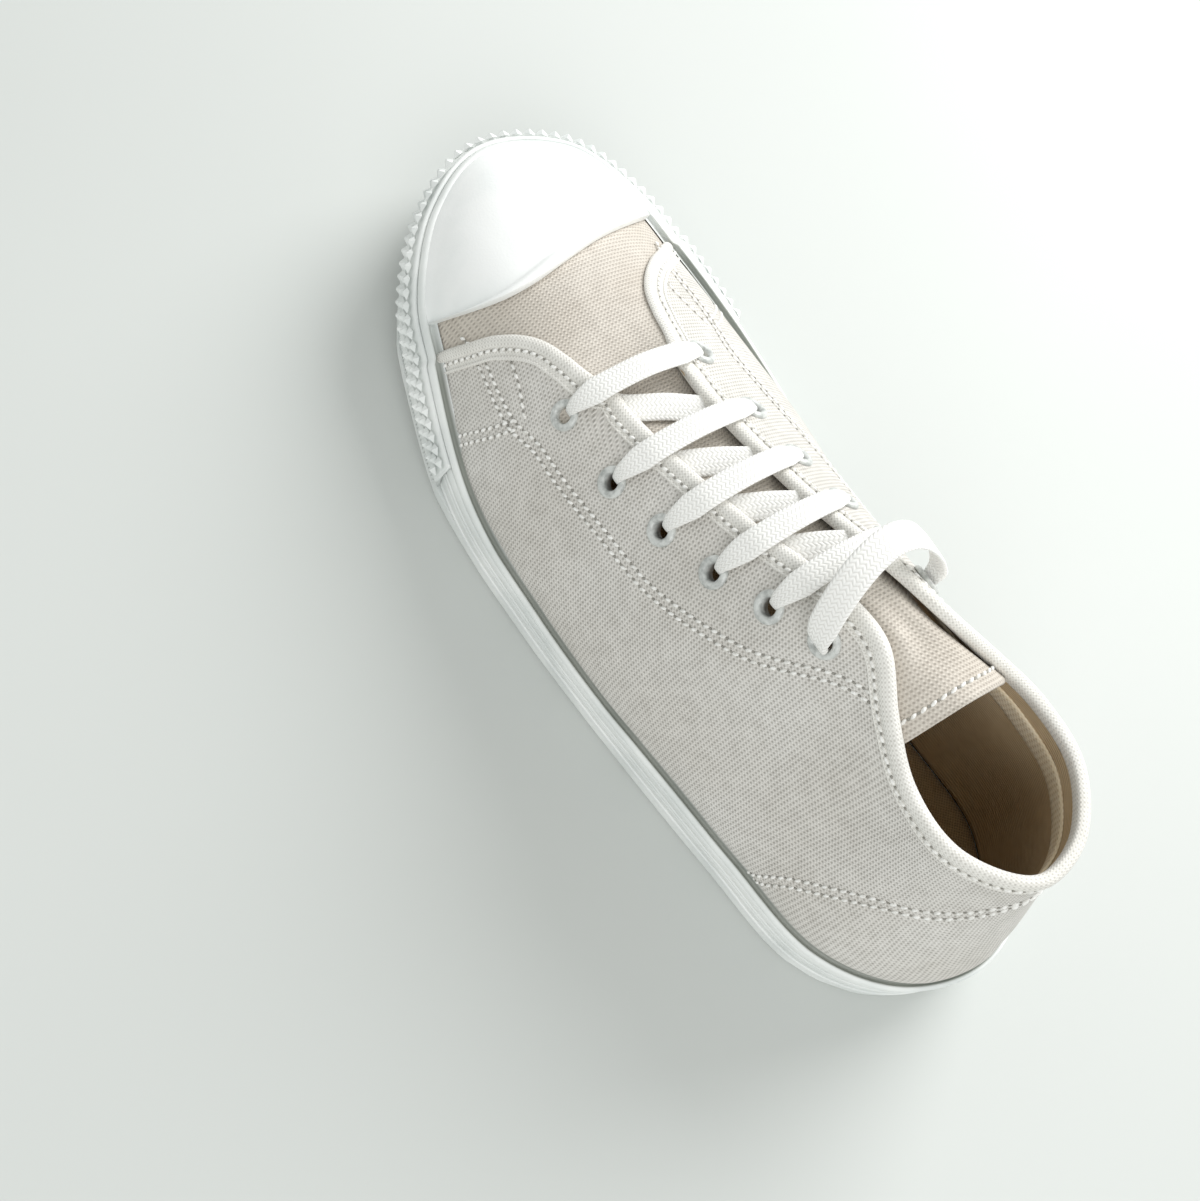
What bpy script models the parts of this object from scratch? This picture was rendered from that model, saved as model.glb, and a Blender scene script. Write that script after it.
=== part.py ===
"""Left low-top canvas sneaker, standing empty on its sole, as separate solids.

The table is in millimetres: x runs from the heel (0) to the toe, +y is the
wearer's left, which is the outer side of this shoe, and z is height above the floor.
"""
import bpy
import bmesh
import numpy as np
from mathutils import Vector

MM = 0.001
GAP = 0.3  # between pieces that are sewn or bonded together

# One row for each line that runs up the shoe from the foot line to the collar or throat edge.
# lat and med are the half widths at the foot line, edge_* the end of the line at the top,
# rise and bulge lift and swell its start, reach, fall and aim (degrees from the toe) lead it in.
COLUMNS = ("name", "foot_x", "lat", "med", "edge_x", "edge_lat", "edge_med", "edge_z",
           "rise", "bulge", "reach", "fall", "aim")
STATIONS = (
    ("heel_back",       3.5,  0.0,  0.0,  15.0,  0.0,  0.0,  91.5, 28, 4,  1, 24, 180),
    ("heel_turn",      10.0, 19.5, 17.0,  19.0,  9.0, 12.0,  91.5, 28, 4,  2, 24, 135),
    ("heel_side",      29.0, 34.0, 29.5,  32.0, 17.0, 23.0,  90.0, 26, 5,  3, 24, 100),
    ("ankle",          62.0, 39.0, 29.5,  50.0, 17.0, 25.0,  89.5, 26, 6,  4, 24,  92),
    ("collar_front",   88.0, 42.0, 28.5,  66.0, 13.5, 17.5,  97.0, 28, 6,  6, 24,  90),
    ("throat_top",    103.0, 43.5, 29.5,  80.0,  9.0,  8.5, 105.5, 30, 6, 12, 18,  85),
    ("eyelet_top",    116.0, 44.7, 32.0,  93.0,  8.0,  6.0, 103.5, 30, 6, 18, 14,  88),
    ("eyestay",       147.0, 46.7, 45.5, 124.0, 10.5,  5.5,  87.0, 26, 5, 20, 13,  85),
    ("eyestay_front", 185.0, 46.3, 50.5, 158.0, 12.5,  6.5,  72.5, 24, 4, 20, 12,  65),
    ("throat_corner", 224.0, 36.0, 50.8, 176.0, 12.0,  7.5,  67.0, 24, 4, 30,  8,  14),
    ("cap_side",      243.0, 28.5, 46.8, 178.5,  8.5,  5.5,  66.0, 30, 5, 42, 12,   8),
    ("toe_side",      263.5, 10.5, 35.9, 179.5,  5.0,  3.0,  65.3, 34, 5, 52, 14,   3),
    ("toe",           273.0, -10.9, 10.9, 180.0,  1.5, -1.5,  65.0, 35, 5, 56, 14,   0),
)
SIDES = len(STATIONS) - 1
TURN = 2 * SIDES  # u runs once round the shoe: heel, outer side, toe, inner side
QUARTER_FRONT = 9.0  # u of the quarter's front edge on the outer side

SOLE_THICK = 5.0
FOOT_Z = SOLE_THICK + GAP
FLAT = (25.0, 185.0)  # x range that touches the floor
TOE_SPRING, HEEL_SPRING = 10.0, 1.0
LENGTH = 273.0

WALL = 1.6
QUARTER_STEP = 0.8  # the quarter lies over the vamp
STEP_RUN = 0.05  # in u
BINDING = 4.5
BINDING_STEP = 0.5

FOX_HEEL, FOX_TOE = 23.5, 31.0  # height of the foxing's top edge above the floor
BUMPER = 1.5
BUMPER_ENDS = (195.0, 195.0)  # x on the outer and on the inner side
SOLE_EDGE = 3.6

# Eyelets from the toe end: run along the throat's edge, distance in from it on each side.
EYELETS = ((9.0, 20.0, 15.0), (27.0, 18.6, 14.0), (46.0, 18.4, 13.5),
           (64.5, 17.8, 13.5), (82.0, 16.0, 13.0), (97.0, 12.5, 12.0))
LACE_WIDTH, LACE_THICK = 8.0, 1.2

CENTRE = (138.71, -2.97)  # x and y of the middle of the shoe's box


def spring(x):
    """Lift of the sole off the floor at the toe and at the heel."""
    toe = np.clip((x - FLAT[1]) / (LENGTH - FLAT[1]), 0, None) ** 2 * TOE_SPRING
    heel = np.clip((FLAT[0] - x) / FLAT[0], 0, None) ** 2 * HEEL_SPRING
    return toe + heel


def control_rows():
    """Four control points for each station, round the whole shoe, as rows of 12 numbers."""
    stations = [(dict(zip(COLUMNS, row)), 1.0) for row in STATIONS]
    stations += [(dict(zip(COLUMNS, row)), -1.0) for row in STATIONS[-2:0:-1]]
    foot, edge, lead = [], [], []
    for s, side in stations:
        half, edge_half = (s["lat"], s["edge_lat"]) if side > 0 else (s["med"], s["edge_med"])
        foot.append((s["foot_x"], side * half, FOOT_Z + float(spring(np.array(s["foot_x"])))))
        edge.append((s["edge_x"], side * edge_half, s["edge_z"]))
        aim = np.radians(s["aim"])
        lead.append((np.cos(aim) * s["reach"], side * np.sin(aim) * s["reach"], -s["fall"]))
    foot, edge, lead = np.array(foot), np.array(edge), np.array(lead)
    along = np.roll(foot, -1, 0) - np.roll(foot, 1, 0)
    outward = np.stack([-along[:, 1], along[:, 0], 0 * along[:, 0]], 1)
    outward /= np.linalg.norm(outward, axis=1)[:, None]
    swell = np.array([s["bulge"] for s, _ in stations])[:, None] * outward
    swell[:, 2] = [s["rise"] for s, _ in stations]
    return np.hstack([foot, foot + swell, edge + lead, edge])


def periodic(table, u):
    """Closed centripetal spline through the table's rows, which lie at whole u."""
    count = len(table)
    u = np.asarray(u, float) % count
    i = np.floor(u).astype(int)
    f = (u - i)[..., None]
    span = np.linalg.norm(np.roll(table, -1, 0) - table, axis=1) ** 0.5
    p0, p1, p2, p3 = (table[(i + k) % count] for k in (-1, 0, 1, 2))
    d0, d1, d2 = (span[(i + k) % count][..., None] for k in (-1, 0, 1))
    m1 = d1 * ((p1 - p0) / d0 - (p2 - p0) / (d0 + d1) + (p2 - p1) / d1)
    m2 = d1 * ((p2 - p1) / d1 - (p3 - p1) / (d1 + d2) + (p3 - p2) / d2)
    return ((2 * f**3 - 3 * f**2 + 1) * p1 + (f**3 - 2 * f**2 + f) * m1
            + (3 * f**2 - 2 * f**3) * p2 + (f**3 - f**2) * m2)


ROWS = control_rows()


LEVEL_START = 0.1  # below this v the outward direction turns level, so pieces stand flat


def skin(u, v, out=0.0):
    """Point of the vamp's outer face, v from 0 at the foot line to 1 at the edge, moved out."""
    u, v, out = np.broadcast_arrays(*(np.asarray(a, float) for a in (u, v, out)))

    def place(uu, vv):
        c, w = periodic(ROWS, uu), vv[..., None]
        return ((1 - w) ** 3 * c[..., 0:3] + 3 * (1 - w) ** 2 * w * c[..., 3:6]
                + 3 * (1 - w) * w**2 * c[..., 6:9] + w**3 * c[..., 9:12])

    step = 1e-3
    lo, hi = np.clip(v - step, 0, 1), np.clip(v + step, 0, 1)
    normal = np.cross(place(u, hi) - place(u, lo), place(u + step, v) - place(u - step, v))
    normal[..., 2] *= np.clip(v / LEVEL_START, 0, 1)
    normal /= np.linalg.norm(normal, axis=-1)[..., None]
    return place(u, v) + normal * out[..., None]


def below_edge(u, distance):
    """v of the point that lies a distance below the top edge."""
    grid = np.linspace(0.0, 1.0, 60)
    result = []
    for uu in np.atleast_1d(u):
        line = skin(np.full(60, uu), grid)
        run = np.linalg.norm(np.diff(line, axis=0), axis=1)[::-1].cumsum()[::-1]
        result.append(np.interp(-distance, -np.append(run, 0.0), grid))
    return np.array(result)


def solve_v(u, test):
    """First v at which test(point) turns positive, for each u."""
    lo, hi = np.zeros_like(u), np.ones_like(u)
    for _ in range(40):
        mid = (lo + hi) / 2
        above = test(skin(u, mid)) > 0
        lo, hi = np.where(above, lo, mid), np.where(above, mid, hi)
    return hi


def fox_height(x):
    return FOX_HEEL + (FOX_TOE - FOX_HEEL) * np.clip((x - 165) / 80, 0, 1)


def fox_top(u, drop=0.0):
    return solve_v(u, lambda p: p[..., 2] - spring(p[..., 0]) - fox_height(p[..., 0]) + drop)


def quarter(u):
    """1 where the quarter covers the shoe, 0 on the vamp, with a short slope between."""
    from_toe = np.abs((u % TURN) - SIDES)
    return np.clip((from_toe - (SIDES - QUARTER_FRONT)) / STEP_RUN + 0.5, 0, 1)


def material(name, colour, roughness, metallic=0.0):
    mat = bpy.data.materials.new(name)
    mat.use_nodes = True
    shader = mat.node_tree.nodes["Principled BSDF"]
    shader.inputs["Base Color"].default_value = (*colour, 1.0)
    shader.inputs["Roughness"].default_value = roughness
    shader.inputs["Metallic"].default_value = metallic
    return mat


def solid(name, points, faces, mat, parent):
    """Closed body from points in table millimetres."""
    shift = np.array([CENTRE[0], CENTRE[1], 0.0])
    mesh = bpy.data.meshes.new(name)
    mesh.from_pydata([tuple(p) for p in (np.asarray(points) - shift) * MM], [], faces)
    shape = bmesh.new()
    shape.from_mesh(mesh)
    bmesh.ops.remove_doubles(shape, verts=shape.verts, dist=1e-5)
    bmesh.ops.recalc_face_normals(shape, faces=shape.faces)
    shape.to_mesh(mesh)
    shape.free()
    mesh.materials.append(mat)
    body = bpy.data.objects.new(name, mesh)
    body.parent = parent
    bpy.context.scene.collection.objects.link(body)
    return body


def loft(sections, closed_path=False):
    """Points and faces of a body whose sections are closed loops of equal length.

    Each half of a section splits its quads the other way, so the inner face of one piece
    and the outer face of the piece that it covers have the same creases.
    """
    sections = np.asarray(sections, float)
    n, m = sections.shape[:2]
    points = sections.reshape(-1, 3)
    faces = []
    for i in range(n if closed_path else n - 1):
        k = (i + 1) % n
        for j in range(m):
            after = (j + 1) % m
            a, b, c, d = i * m + j, i * m + after, k * m + after, k * m + j
            faces += [(a, b, c), (a, c, d)] if j < m // 2 else [(a, b, d), (b, c, d)]
    return points, faces


def caps(n, m, rows):
    """Faces that close the two ends of a loft whose sections are an outer row, then the inner one."""
    faces = []
    for i in (0, n - 1):
        for j in range(rows - 1):
            faces.append((i * m + j, i * m + j + 1, i * m + m - 2 - j, i * m + m - 1 - j))
    return faces


def wall_sections(outer, inner):
    """Closed loops from an outer and an inner sheet, each a row of points for each section."""
    return np.concatenate([outer, inner[:, ::-1]], axis=1)


def build_upper(mat, parent):
    """Hollow canvas body with the quarter and its binding as steps in the wall."""
    u = round_columns()
    q = quarter(u)
    foot = fox_top(u)
    under = below_edge(u, BINDING + 0.7)
    rows = [foot * share for share in LOW_ROWS]
    rows += [foot + (under - foot) * share for share in (0.18, 0.36, 0.54, 0.72, 0.88, 1.0)]
    step = [0] * len(rows) + [BINDING_STEP] * 2
    rows += [below_edge(u, BINDING), np.ones_like(u)]
    outer = np.stack([skin(u, v, q * (QUARTER_STEP + s)) for v, s in zip(rows, step)], 1)
    inner = np.stack([skin(u, v, -WALL) for v in rows], 1)
    points, faces = loft(wall_sections(outer, inner), closed_path=True)
    return solid("upper", points, faces, mat, parent)


LOW_ROWS = (0.0, 0.5, 1.0)  # shares of the foxing's height, for the faces that meet there


def round_columns():
    """Places round the shoe, closer together at the quarter's front edges."""
    steps = {round(k / 3, 4) for k in range(3 * TURN)}
    for front in (QUARTER_FRONT, TURN - QUARTER_FRONT):
        steps -= {round(front, 4)}
        steps |= {front - STEP_RUN / 2, front + STEP_RUN / 2}
    return np.array(sorted(steps))


def columns_between(start, end):
    """The round columns between two places, and the two places."""
    u = round_columns()
    return np.concatenate([[start], u[(u > start + 0.05) & (u < end - 0.05)], [end]])


# Outer profile of the foxing: share of its height, thickness in mm.
FOX_PROFILE = ((0.00, 2.8), (0.10, 2.8), (0.13, 2.4), (0.42, 2.4), (0.45, 2.0), (0.49, 2.0),
               (0.52, 2.4), (0.76, 2.4), (0.79, 1.8), (0.83, 2.8), (0.93, 2.8), (1.00, 1.4))
FOX_THICK = 2.8


def build_foxing(mat, parent):
    """Rubber strip bonded round the foot of the upper, with a bead along its top."""
    u = round_columns()
    base = quarter(u) * QUARTER_STEP + GAP
    top = fox_top(u)
    outer = np.stack([skin(u, top * share, base + thick) for share, thick in FOX_PROFILE], 1)
    inner = np.stack([skin(u, top * share, base) for share in LOW_ROWS], 1)
    points, faces = loft(wall_sections(outer, inner), closed_path=True)
    return solid("foxing", points, faces, mat, parent)


def u_at_x(x, side):
    """u of the foot line where it passes x on the outer (1) or inner (-1) side."""
    grid = np.linspace(0, SIDES, 600)
    u = np.interp(x, periodic(ROWS, grid)[:, 0], grid)
    return u if side > 0 else TURN - np.interp(x, periodic(ROWS, TURN - grid)[:, 0], grid)


# Toe bumper: share of the foxing's height, thickness beyond the foxing in mm.
BUMPER_PROFILE = ((0.02, 1.0), (0.22, 1.0), (0.25, 1.6), (0.29, 1.6), (0.32, 1.1),
                  (0.70, 1.1), (0.74, 0.7))


def build_bumper(mat, parent):
    """Second rubber strip round the toe, over the foxing and under its bead."""
    u = columns_between(u_at_x(BUMPER_ENDS[0], 1), u_at_x(BUMPER_ENDS[1], -1))
    base = quarter(u) * QUARTER_STEP + GAP + FOX_THICK + GAP
    top = fox_top(u)
    outer = np.stack([skin(u, top * share, base + thick) for share, thick in BUMPER_PROFILE], 1)
    inner = np.stack([skin(u, top * share, base) for share, _ in BUMPER_PROFILE], 1)
    points, faces = loft(wall_sections(outer, inner))
    rows = len(BUMPER_PROFILE)
    return solid("toe_bumper", points, faces + caps(len(u), 2 * rows, rows), mat, parent)


def build_toe_cap(mat, parent):
    """Smooth rubber cap over the front of the vamp, with a raised lip along its rear edge."""
    grid = np.linspace(QUARTER_FRONT, TURN - QUARTER_FRONT, 400)
    covered = grid[cap_top(grid) - fox_top(grid, -CAP_GAP) > 0.02]
    u = columns_between(covered[0], covered[-1])
    low, high = fox_top(u, -CAP_GAP), cap_top(u)
    shares = (0.0, 0.06, 0.3, 0.55, 0.78, 0.93, 0.97, 1.0)
    thick = (1.2, 1.6, 1.6, 1.6, 1.6, 1.6, 2.2, 2.2)
    at = [low + (high - low) * s for s in shares]
    outer = np.stack([skin(u, v, CAP_GAP + t) for v, t in zip(at, thick)], 1)
    inner = np.stack([skin(u, v, CAP_GAP) for v in at], 1)
    points, faces = loft(wall_sections(outer, inner))
    rows = len(shares)
    return solid("toe_cap", points, faces + caps(len(u), 2 * rows, rows), mat, parent)


CAP_GAP = 0.65  # at the facets' corners, so that their middles still clear the vamp
CAP_EDGE = ((231.6, 31.0), (221.0, 20.0), (218.7, 5.0), (223.7, -20.0),
            (236.0, -49.0))  # x and y of points on the cap's rear edge


def cap_top(u):
    return solve_v(u, lambda p: cap_edge_x(p[..., 1]) - p[..., 0])


def cap_edge_x(y):
    """x of the cap's rear edge at each y, on a smooth curve through its points."""
    along, across = np.array(CAP_EDGE).T
    return np.polyval(np.polyfit(across, along, len(CAP_EDGE) - 1), y)


def outline(x, out):
    """Outer and inner side's points of the foot line at each x, moved out."""
    sides = []
    for side in (1, -1):
        u = np.array([u_at_x(value, side) for value in x])
        foot = periodic(ROWS, u)[:, 0:2]
        along = periodic(ROWS, u + 0.01)[:, 0:2] - periodic(ROWS, u - 0.01)[:, 0:2]
        normal = np.stack([-along[:, 1], along[:, 0]], 1)
        normal /= np.linalg.norm(normal, axis=1)[:, None]
        sides.append(foot + normal * np.asarray(out)[..., None])
    return sides


def across(x, out, shares, heights):
    """Rows of points across the shoe, each at its share of the width and height above its floor."""
    left, right = outline(x, out)
    lift = spring(x)
    rows = [np.column_stack([left + (right - left) * s, lift + h]) for s, h in zip(shares, heights)]
    return np.stack(rows, 1)


# Tread: x of the two plain pads, and the cross grooves between the lugs.
PADS = ((38.0, 68.0), (146.0, 176.0))
GROOVE, GROOVE_PITCH, GROOVE_DEPTH = 2.6, 9.0, 1.4
RIM = 0.11  # share of the width that the tread's plain rim takes on each side


def build_outsole(mat, parent):
    """Rubber sole with its toe spring, a bevelled edge and cross lugs inside a plain rim."""
    first, last = 3.6, LENGTH - 0.1
    starts = [x for x in np.arange(12.0, 262.0, GROOVE_PITCH)
              if not any(a - GROOVE < x < b for a, b in PADS)]
    marks = [first, 4.5, 6.5, 9.0, 266.0, 269.5, 272.0, last]
    marks += [x for a, b in PADS for x in np.linspace(a, b, 5)]
    x = np.array(sorted(marks + [s + d for s in starts for d in (0.0, 0.5, GROOVE - 0.5, GROOVE)]))
    deep = np.array([GROOVE_DEPTH if any(s + 0.4 < value < s + GROOVE - 0.4 for s in starts) else 0.0
                     for value in x])
    edge = SOLE_EDGE + BUMPER * np.clip((x - 180.0) / 15.0, 0, 1)
    shares = (-0.004, 0.012, RIM, RIM + 0.01, 0.99 - RIM, 1 - RIM, 0.988, 1.004)
    bottom = [0 * x + 1.0, 0 * x, 0 * x, deep, deep, 0 * x, 0 * x, 0 * x + 1.0]
    low = across(x, edge, shares, bottom)
    high = across(x, edge, (0.0, 1.0), (0 * x + SOLE_THICK, 0 * x + SOLE_THICK))
    sections = np.concatenate([low, high[:, ::-1]], 1)
    points, faces = loft(sections)
    count = sections.shape[1]
    faces += [tuple(range(count)), tuple((len(x) - 1) * count + j for j in range(count))]
    return solid("outsole", points, faces, mat, parent)


INSOLE_THICK = 3.0


def build_insole(mat, parent):
    """Cloth-covered foam bed inside the upper, on the sole."""
    x = np.concatenate([[3.7, 4.6, 6.5, 10.0, 15.0], np.arange(24.0, 262.0, 14.0),
                        [262.0, 267.0, 270.5, 272.6]])
    inset = -(WALL + 2.5 * GAP)
    low, high = SOLE_THICK + GAP, SOLE_THICK + GAP + INSOLE_THICK
    sections = np.concatenate([across(x, 0 * x + inset, (0.0, 1.0), (0 * x + low,) * 2),
                               across(x, 0 * x + inset, (1.0, 0.0), (0 * x + high,) * 2)], 1)
    points, faces = loft(sections)
    last = 4 * (len(x) - 1)
    faces += [(0, 1, 2, 3), (last, last + 1, last + 2, last + 3)]
    return solid("insole", points, faces, mat, parent)


# Tongue, a row for each place along the throat: u on the outer side, depth under the vamp's
# outer face, height of the crown over the line between the two edges, width of each wing.
TONGUE = ((9.0, 3.7, 0.0, 11.0), (8.5, 3.8, 0.2, 13.0), (8.0, 3.8, 0.8, 14.0),
          (7.5, 3.8, 1.2, 15.0), (7.0, 3.8, 1.4, 16.0), (6.5, 3.8, 1.2, 16.0),
          (6.0, 3.8, 0.8, 16.0), (5.5, 3.8, 0.4, 16.0), (5.0, 3.8, 0.6, 16.0),
          (4.5, 3.6, 2.4, 15.0), (4.0, 3.4, 5.6, 13.0), (3.6, 3.2, 8.6, 11.0))
TONGUE_TOE = (((9.4, 0.80), (10.0, 0.86), (12.0, 0.87), (14.0, 0.86), (14.6, 0.80)),
              ((9.4, 0.92), (10.0, 0.95), (12.0, 0.96), (14.0, 0.95), (14.6, 0.92)))
TONGUE_THICK = 1.8
TONGUE_ACROSS = 9


def build_tongue(mat, parent):
    """Canvas strip from under the vamp to the collar, arched between the quarter's edges."""
    rows = []
    for depth, row in zip((WALL + 2 * GAP, 2.8), TONGUE_TOE):
        rows.append(np.array([skin(u, v, -depth) for u, v in row]))
    for u, depth, crown, wing in TONGUE:
        pair = []
        for side in (u, TURN - u):
            v = below_edge(side, wing)[0]
            pair.append((skin(side, v, -depth), skin(side, 0.995, -depth)))
        middle = (pair[0][1] + pair[1][1]) / 2 + np.array([0.0, 0.0, crown])
        rows.append(np.array([pair[0][0], pair[0][1], middle, pair[1][1], pair[1][0]]))
    t = np.linspace(0, 4, TONGUE_ACROSS)
    outer = np.array([open_curve(row, t) for row in rows])
    along = np.gradient(outer, axis=0)
    cross = np.gradient(outer, axis=1)
    normal = np.cross(along, cross)
    normal /= np.linalg.norm(normal, axis=2)[..., None]
    normal *= np.sign(normal[:, TONGUE_ACROSS // 2, 2])[:, None, None]
    inner = outer - normal * TONGUE_THICK
    points, faces = loft(wall_sections(outer, inner))
    faces += caps(len(rows), 2 * TONGUE_ACROSS, TONGUE_ACROSS)
    return solid("tongue", points, faces, mat, parent)


def open_curve(points, t):
    """Catmull-Rom curve through the points, t counting them from 0."""
    p = np.vstack([2 * points[0] - points[1], points, 2 * points[-1] - points[-2]])
    i = np.clip(np.floor(t).astype(int), 0, len(points) - 2)
    f = (t - i)[:, None]
    p0, p1, p2, p3 = p[i], p[i + 1], p[i + 2], p[i + 3]
    return 0.5 * (2 * p1 + (p2 - p0) * f + (2 * p0 - 5 * p1 + 4 * p2 - p3) * f**2
                  + (3 * p1 - p0 - 3 * p2 + p3) * f**3)


def eyelet_places():
    """(u, v) of each eyelet on the outer side, from the toe end, and on the inner side."""
    places = []
    for side in (1, -1):
        grid = np.linspace(QUARTER_FRONT, 4.0, 400)
        if side < 0:
            grid = TURN - grid
        edge = skin(grid, np.ones_like(grid))
        run = np.append(0.0, np.linalg.norm(np.diff(edge, axis=0), axis=1).cumsum())
        for k, (along, outer, inner) in enumerate(EYELETS):
            u = np.interp(along, run, grid)
            places.append((side, k, u, below_edge(u, outer if side > 0 else inner)[0]))
    return places


def frame_at(u, v):
    """Point on the quarter's outer face and the outward direction there."""
    origin = skin(u, v, QUARTER_STEP)
    direction = skin(u, v, QUARTER_STEP + 1.0) - origin
    return origin, direction


def turned(profile, origin, direction, sides):
    """Ring of a closed (radius, height) profile turned about a direction."""
    axis = Vector(direction).to_track_quat("Z", "Y").to_matrix()
    sections = []
    for k in range(sides):
        a = 2 * np.pi * k / sides
        sections.append([np.array(origin) + np.array(axis @ Vector((r * np.cos(a), r * np.sin(a), h)))
                         for r, h in profile])
    return loft(sections, closed_path=True)


# Eyelet: radius and height over the canvas, round a closed section.
EYELET_PROFILE = ((2.2, -2.9), (2.2, 0.75), (3.2, 1.15), (4.35, 0.75), (4.2, 0.3), (2.8, 0.3),
                  (2.8, -2.9))
HOLE_RADIUS = 3.15


def build_eyelets(mat, parent):
    for side, k, u, v in eyelet_places():
        origin, direction = frame_at(u, v)
        points, faces = turned(EYELET_PROFILE, origin, direction, 10)
        solid(f"eyelet_{'outer' if side > 0 else 'inner'}_{k + 1}", points, faces, mat, parent)


def cut_holes(upper, parent):
    """Cuts the eyelet holes through the quarters."""
    points, faces = [], []
    for _, _, u, v in eyelet_places():
        origin, direction = frame_at(u, v)
        axis = Vector(direction).to_track_quat("Z", "Y").to_matrix()
        start = len(points)
        for h in (-5.0, 4.0):
            for j in range(10):
                a = 2 * np.pi * j / 10
                around = axis @ Vector((HOLE_RADIUS * np.cos(a), HOLE_RADIUS * np.sin(a), h))
                points.append(origin + np.array(around))
        faces += [(start + j, start + (j + 1) % 10, start + 10 + (j + 1) % 10, start + 10 + j)
                  for j in range(10)]
        faces += [tuple(start + j for j in range(9, -1, -1)), tuple(start + 10 + j for j in range(10))]
    cutter = solid("eyelet_cutter", points, faces, upper.data.materials[0], parent)
    cutter.hide_render = True
    cutter.display_type = "WIRE"
    cut = upper.modifiers.new("eyelet_holes", "BOOLEAN")
    cut.operation = "DIFFERENCE"
    cut.solver = "EXACT"
    cut.object = cutter


def strip(points, wide, up, width, thick):
    """Flat strip along points, with its width along wide and its thickness along up."""
    sections = []
    for p, w, n in zip(points, wide, up):
        sections.append([p - w * width / 2 - n * thick / 2, p + w * width / 2 - n * thick / 2,
                         p + w * width / 2 + n * thick / 2, p - w * width / 2 + n * thick / 2])
    faces = loft(sections)[1]
    last = 4 * (len(sections) - 1)
    faces += [(0, 1, 2, 3), (last, last + 1, last + 2, last + 3)]
    return np.array(sections).reshape(-1, 3), faces


def edge_at_x(x, side):
    """u at which the throat's edge passes x on the outer (1) or inner (-1) side."""
    grid = np.linspace(5.0, QUARTER_FRONT - STEP_RUN, 200)
    u = grid if side > 0 else TURN - grid
    return np.interp(x, skin(u, np.ones_like(u))[:, 0], u)


def build_lace_bars(mat, parent):
    """Five flat bars across the throat, each from over one eyelet to over the other."""
    places = {(side, k): (u, v) for side, k, u, v in eyelet_places()}
    for k in range(len(EYELETS) - 1):
        path, lie = [], []
        for side in (1, -1):
            u, v = places[(side, k)]
            edge = edge_at_x(skin(u, v)[0], side)
            steps = [(u, v, 3.5), ((u + edge) / 2, (v + 1) / 2, 3.3), (edge, 1.0, 3.0)]
            points = [skin(uu, vv, out) for uu, vv, out in steps]
            normals = [skin(uu, vv, 1.0) - skin(uu, vv) for uu, vv, _ in steps]
            path.append(points if side > 0 else points[::-1])
            lie.append(normals if side > 0 else normals[::-1])
        middle = (path[0][-1] + path[1][0]) / 2 + np.array([0.0, 0.0, 1.2])
        points = np.array(path[0] + [middle] + path[1])
        line = np.gradient(points, axis=0)
        up = np.array(lie[0] + [lie[0][-1] + lie[1][0]] + lie[1])
        wide = np.cross(up, line)
        wide /= np.linalg.norm(wide, axis=1)[:, None]
        up = np.cross(line, wide)
        up /= np.linalg.norm(up, axis=1)[:, None]
        solid(f"lace_bar_{k + 1}", *strip(points, wide, up, LACE_WIDTH, LACE_THICK), mat, parent)


# Route of the top lace, which stands up in a slack loop from one top eyelet to the other.
LOOP = ((89.0, 18.3, 97.3), (89.2, 19.6, 98.8), (89.9, 20.0, 100.8), (91.2, 18.9, 103.8),
        (92.9, 16.4, 107.3), (94.8, 12.8, 110.8), (96.6, 8.3, 113.9), (98.0, 3.2, 116.0),
        (98.6, -2.0, 116.7), (98.1, -6.8, 115.6), (96.8, -10.7, 113.0), (94.9, -13.7, 109.4),
        (92.9, -15.9, 105.6), (91.0, -17.2, 102.0), (89.6, -17.4, 99.4), (89.1, -16.3, 97.4))


def build_lace_loop(mat, parent):
    """The free length of lace at the top eyelets, flat and standing on its edges' line."""
    points = np.array(LOOP)
    line = np.gradient(points, axis=0)
    line /= np.linalg.norm(line, axis=1)[:, None]
    wide = np.array([1.0, 0.0, 0.0]) - line * line[:, :1]
    wide /= np.linalg.norm(wide, axis=1)[:, None]
    solid("lace_loop", *strip(points, wide, np.cross(line, wide), LACE_WIDTH, LACE_THICK), mat, parent)


for thing in list(bpy.data.objects):
    bpy.data.objects.remove(thing)
root = bpy.data.objects.new("root", None)
bpy.context.scene.collection.objects.link(root)

RUBBER = material("white_rubber", (0.83, 0.84, 0.83), 0.45)
CANVAS = material("off_white_canvas", (0.76, 0.73, 0.68), 0.9)
FOAM = material("beige_insole_cloth", (0.62, 0.52, 0.40), 0.95)
LACE = material("white_lace", (0.85, 0.85, 0.83), 0.85)
METAL = material("white_enamelled_metal", (0.80, 0.81, 0.80), 0.35, 0.3)

build_outsole(RUBBER, root)
build_insole(FOAM, root)
build_foxing(RUBBER, root)
build_bumper(RUBBER, root)
build_toe_cap(RUBBER, root)
upper_body = build_upper(CANVAS, root)
cut_holes(upper_body, root)
build_tongue(CANVAS, root)
build_eyelets(METAL, root)
build_lace_bars(LACE, root)
build_lace_loop(LACE, root)
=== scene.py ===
"""Left low-top canvas sneaker, standing empty on its sole, dressed piece by piece.

Sizes are the shoe's own millimetres: x runs from the heel (0) to the toe, +y is the
wearer's left, which is the outer side of this shoe, and z is height above the floor.
"""
import bpy
import bmesh
import numpy as np
from mathutils import Matrix, Vector


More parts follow.
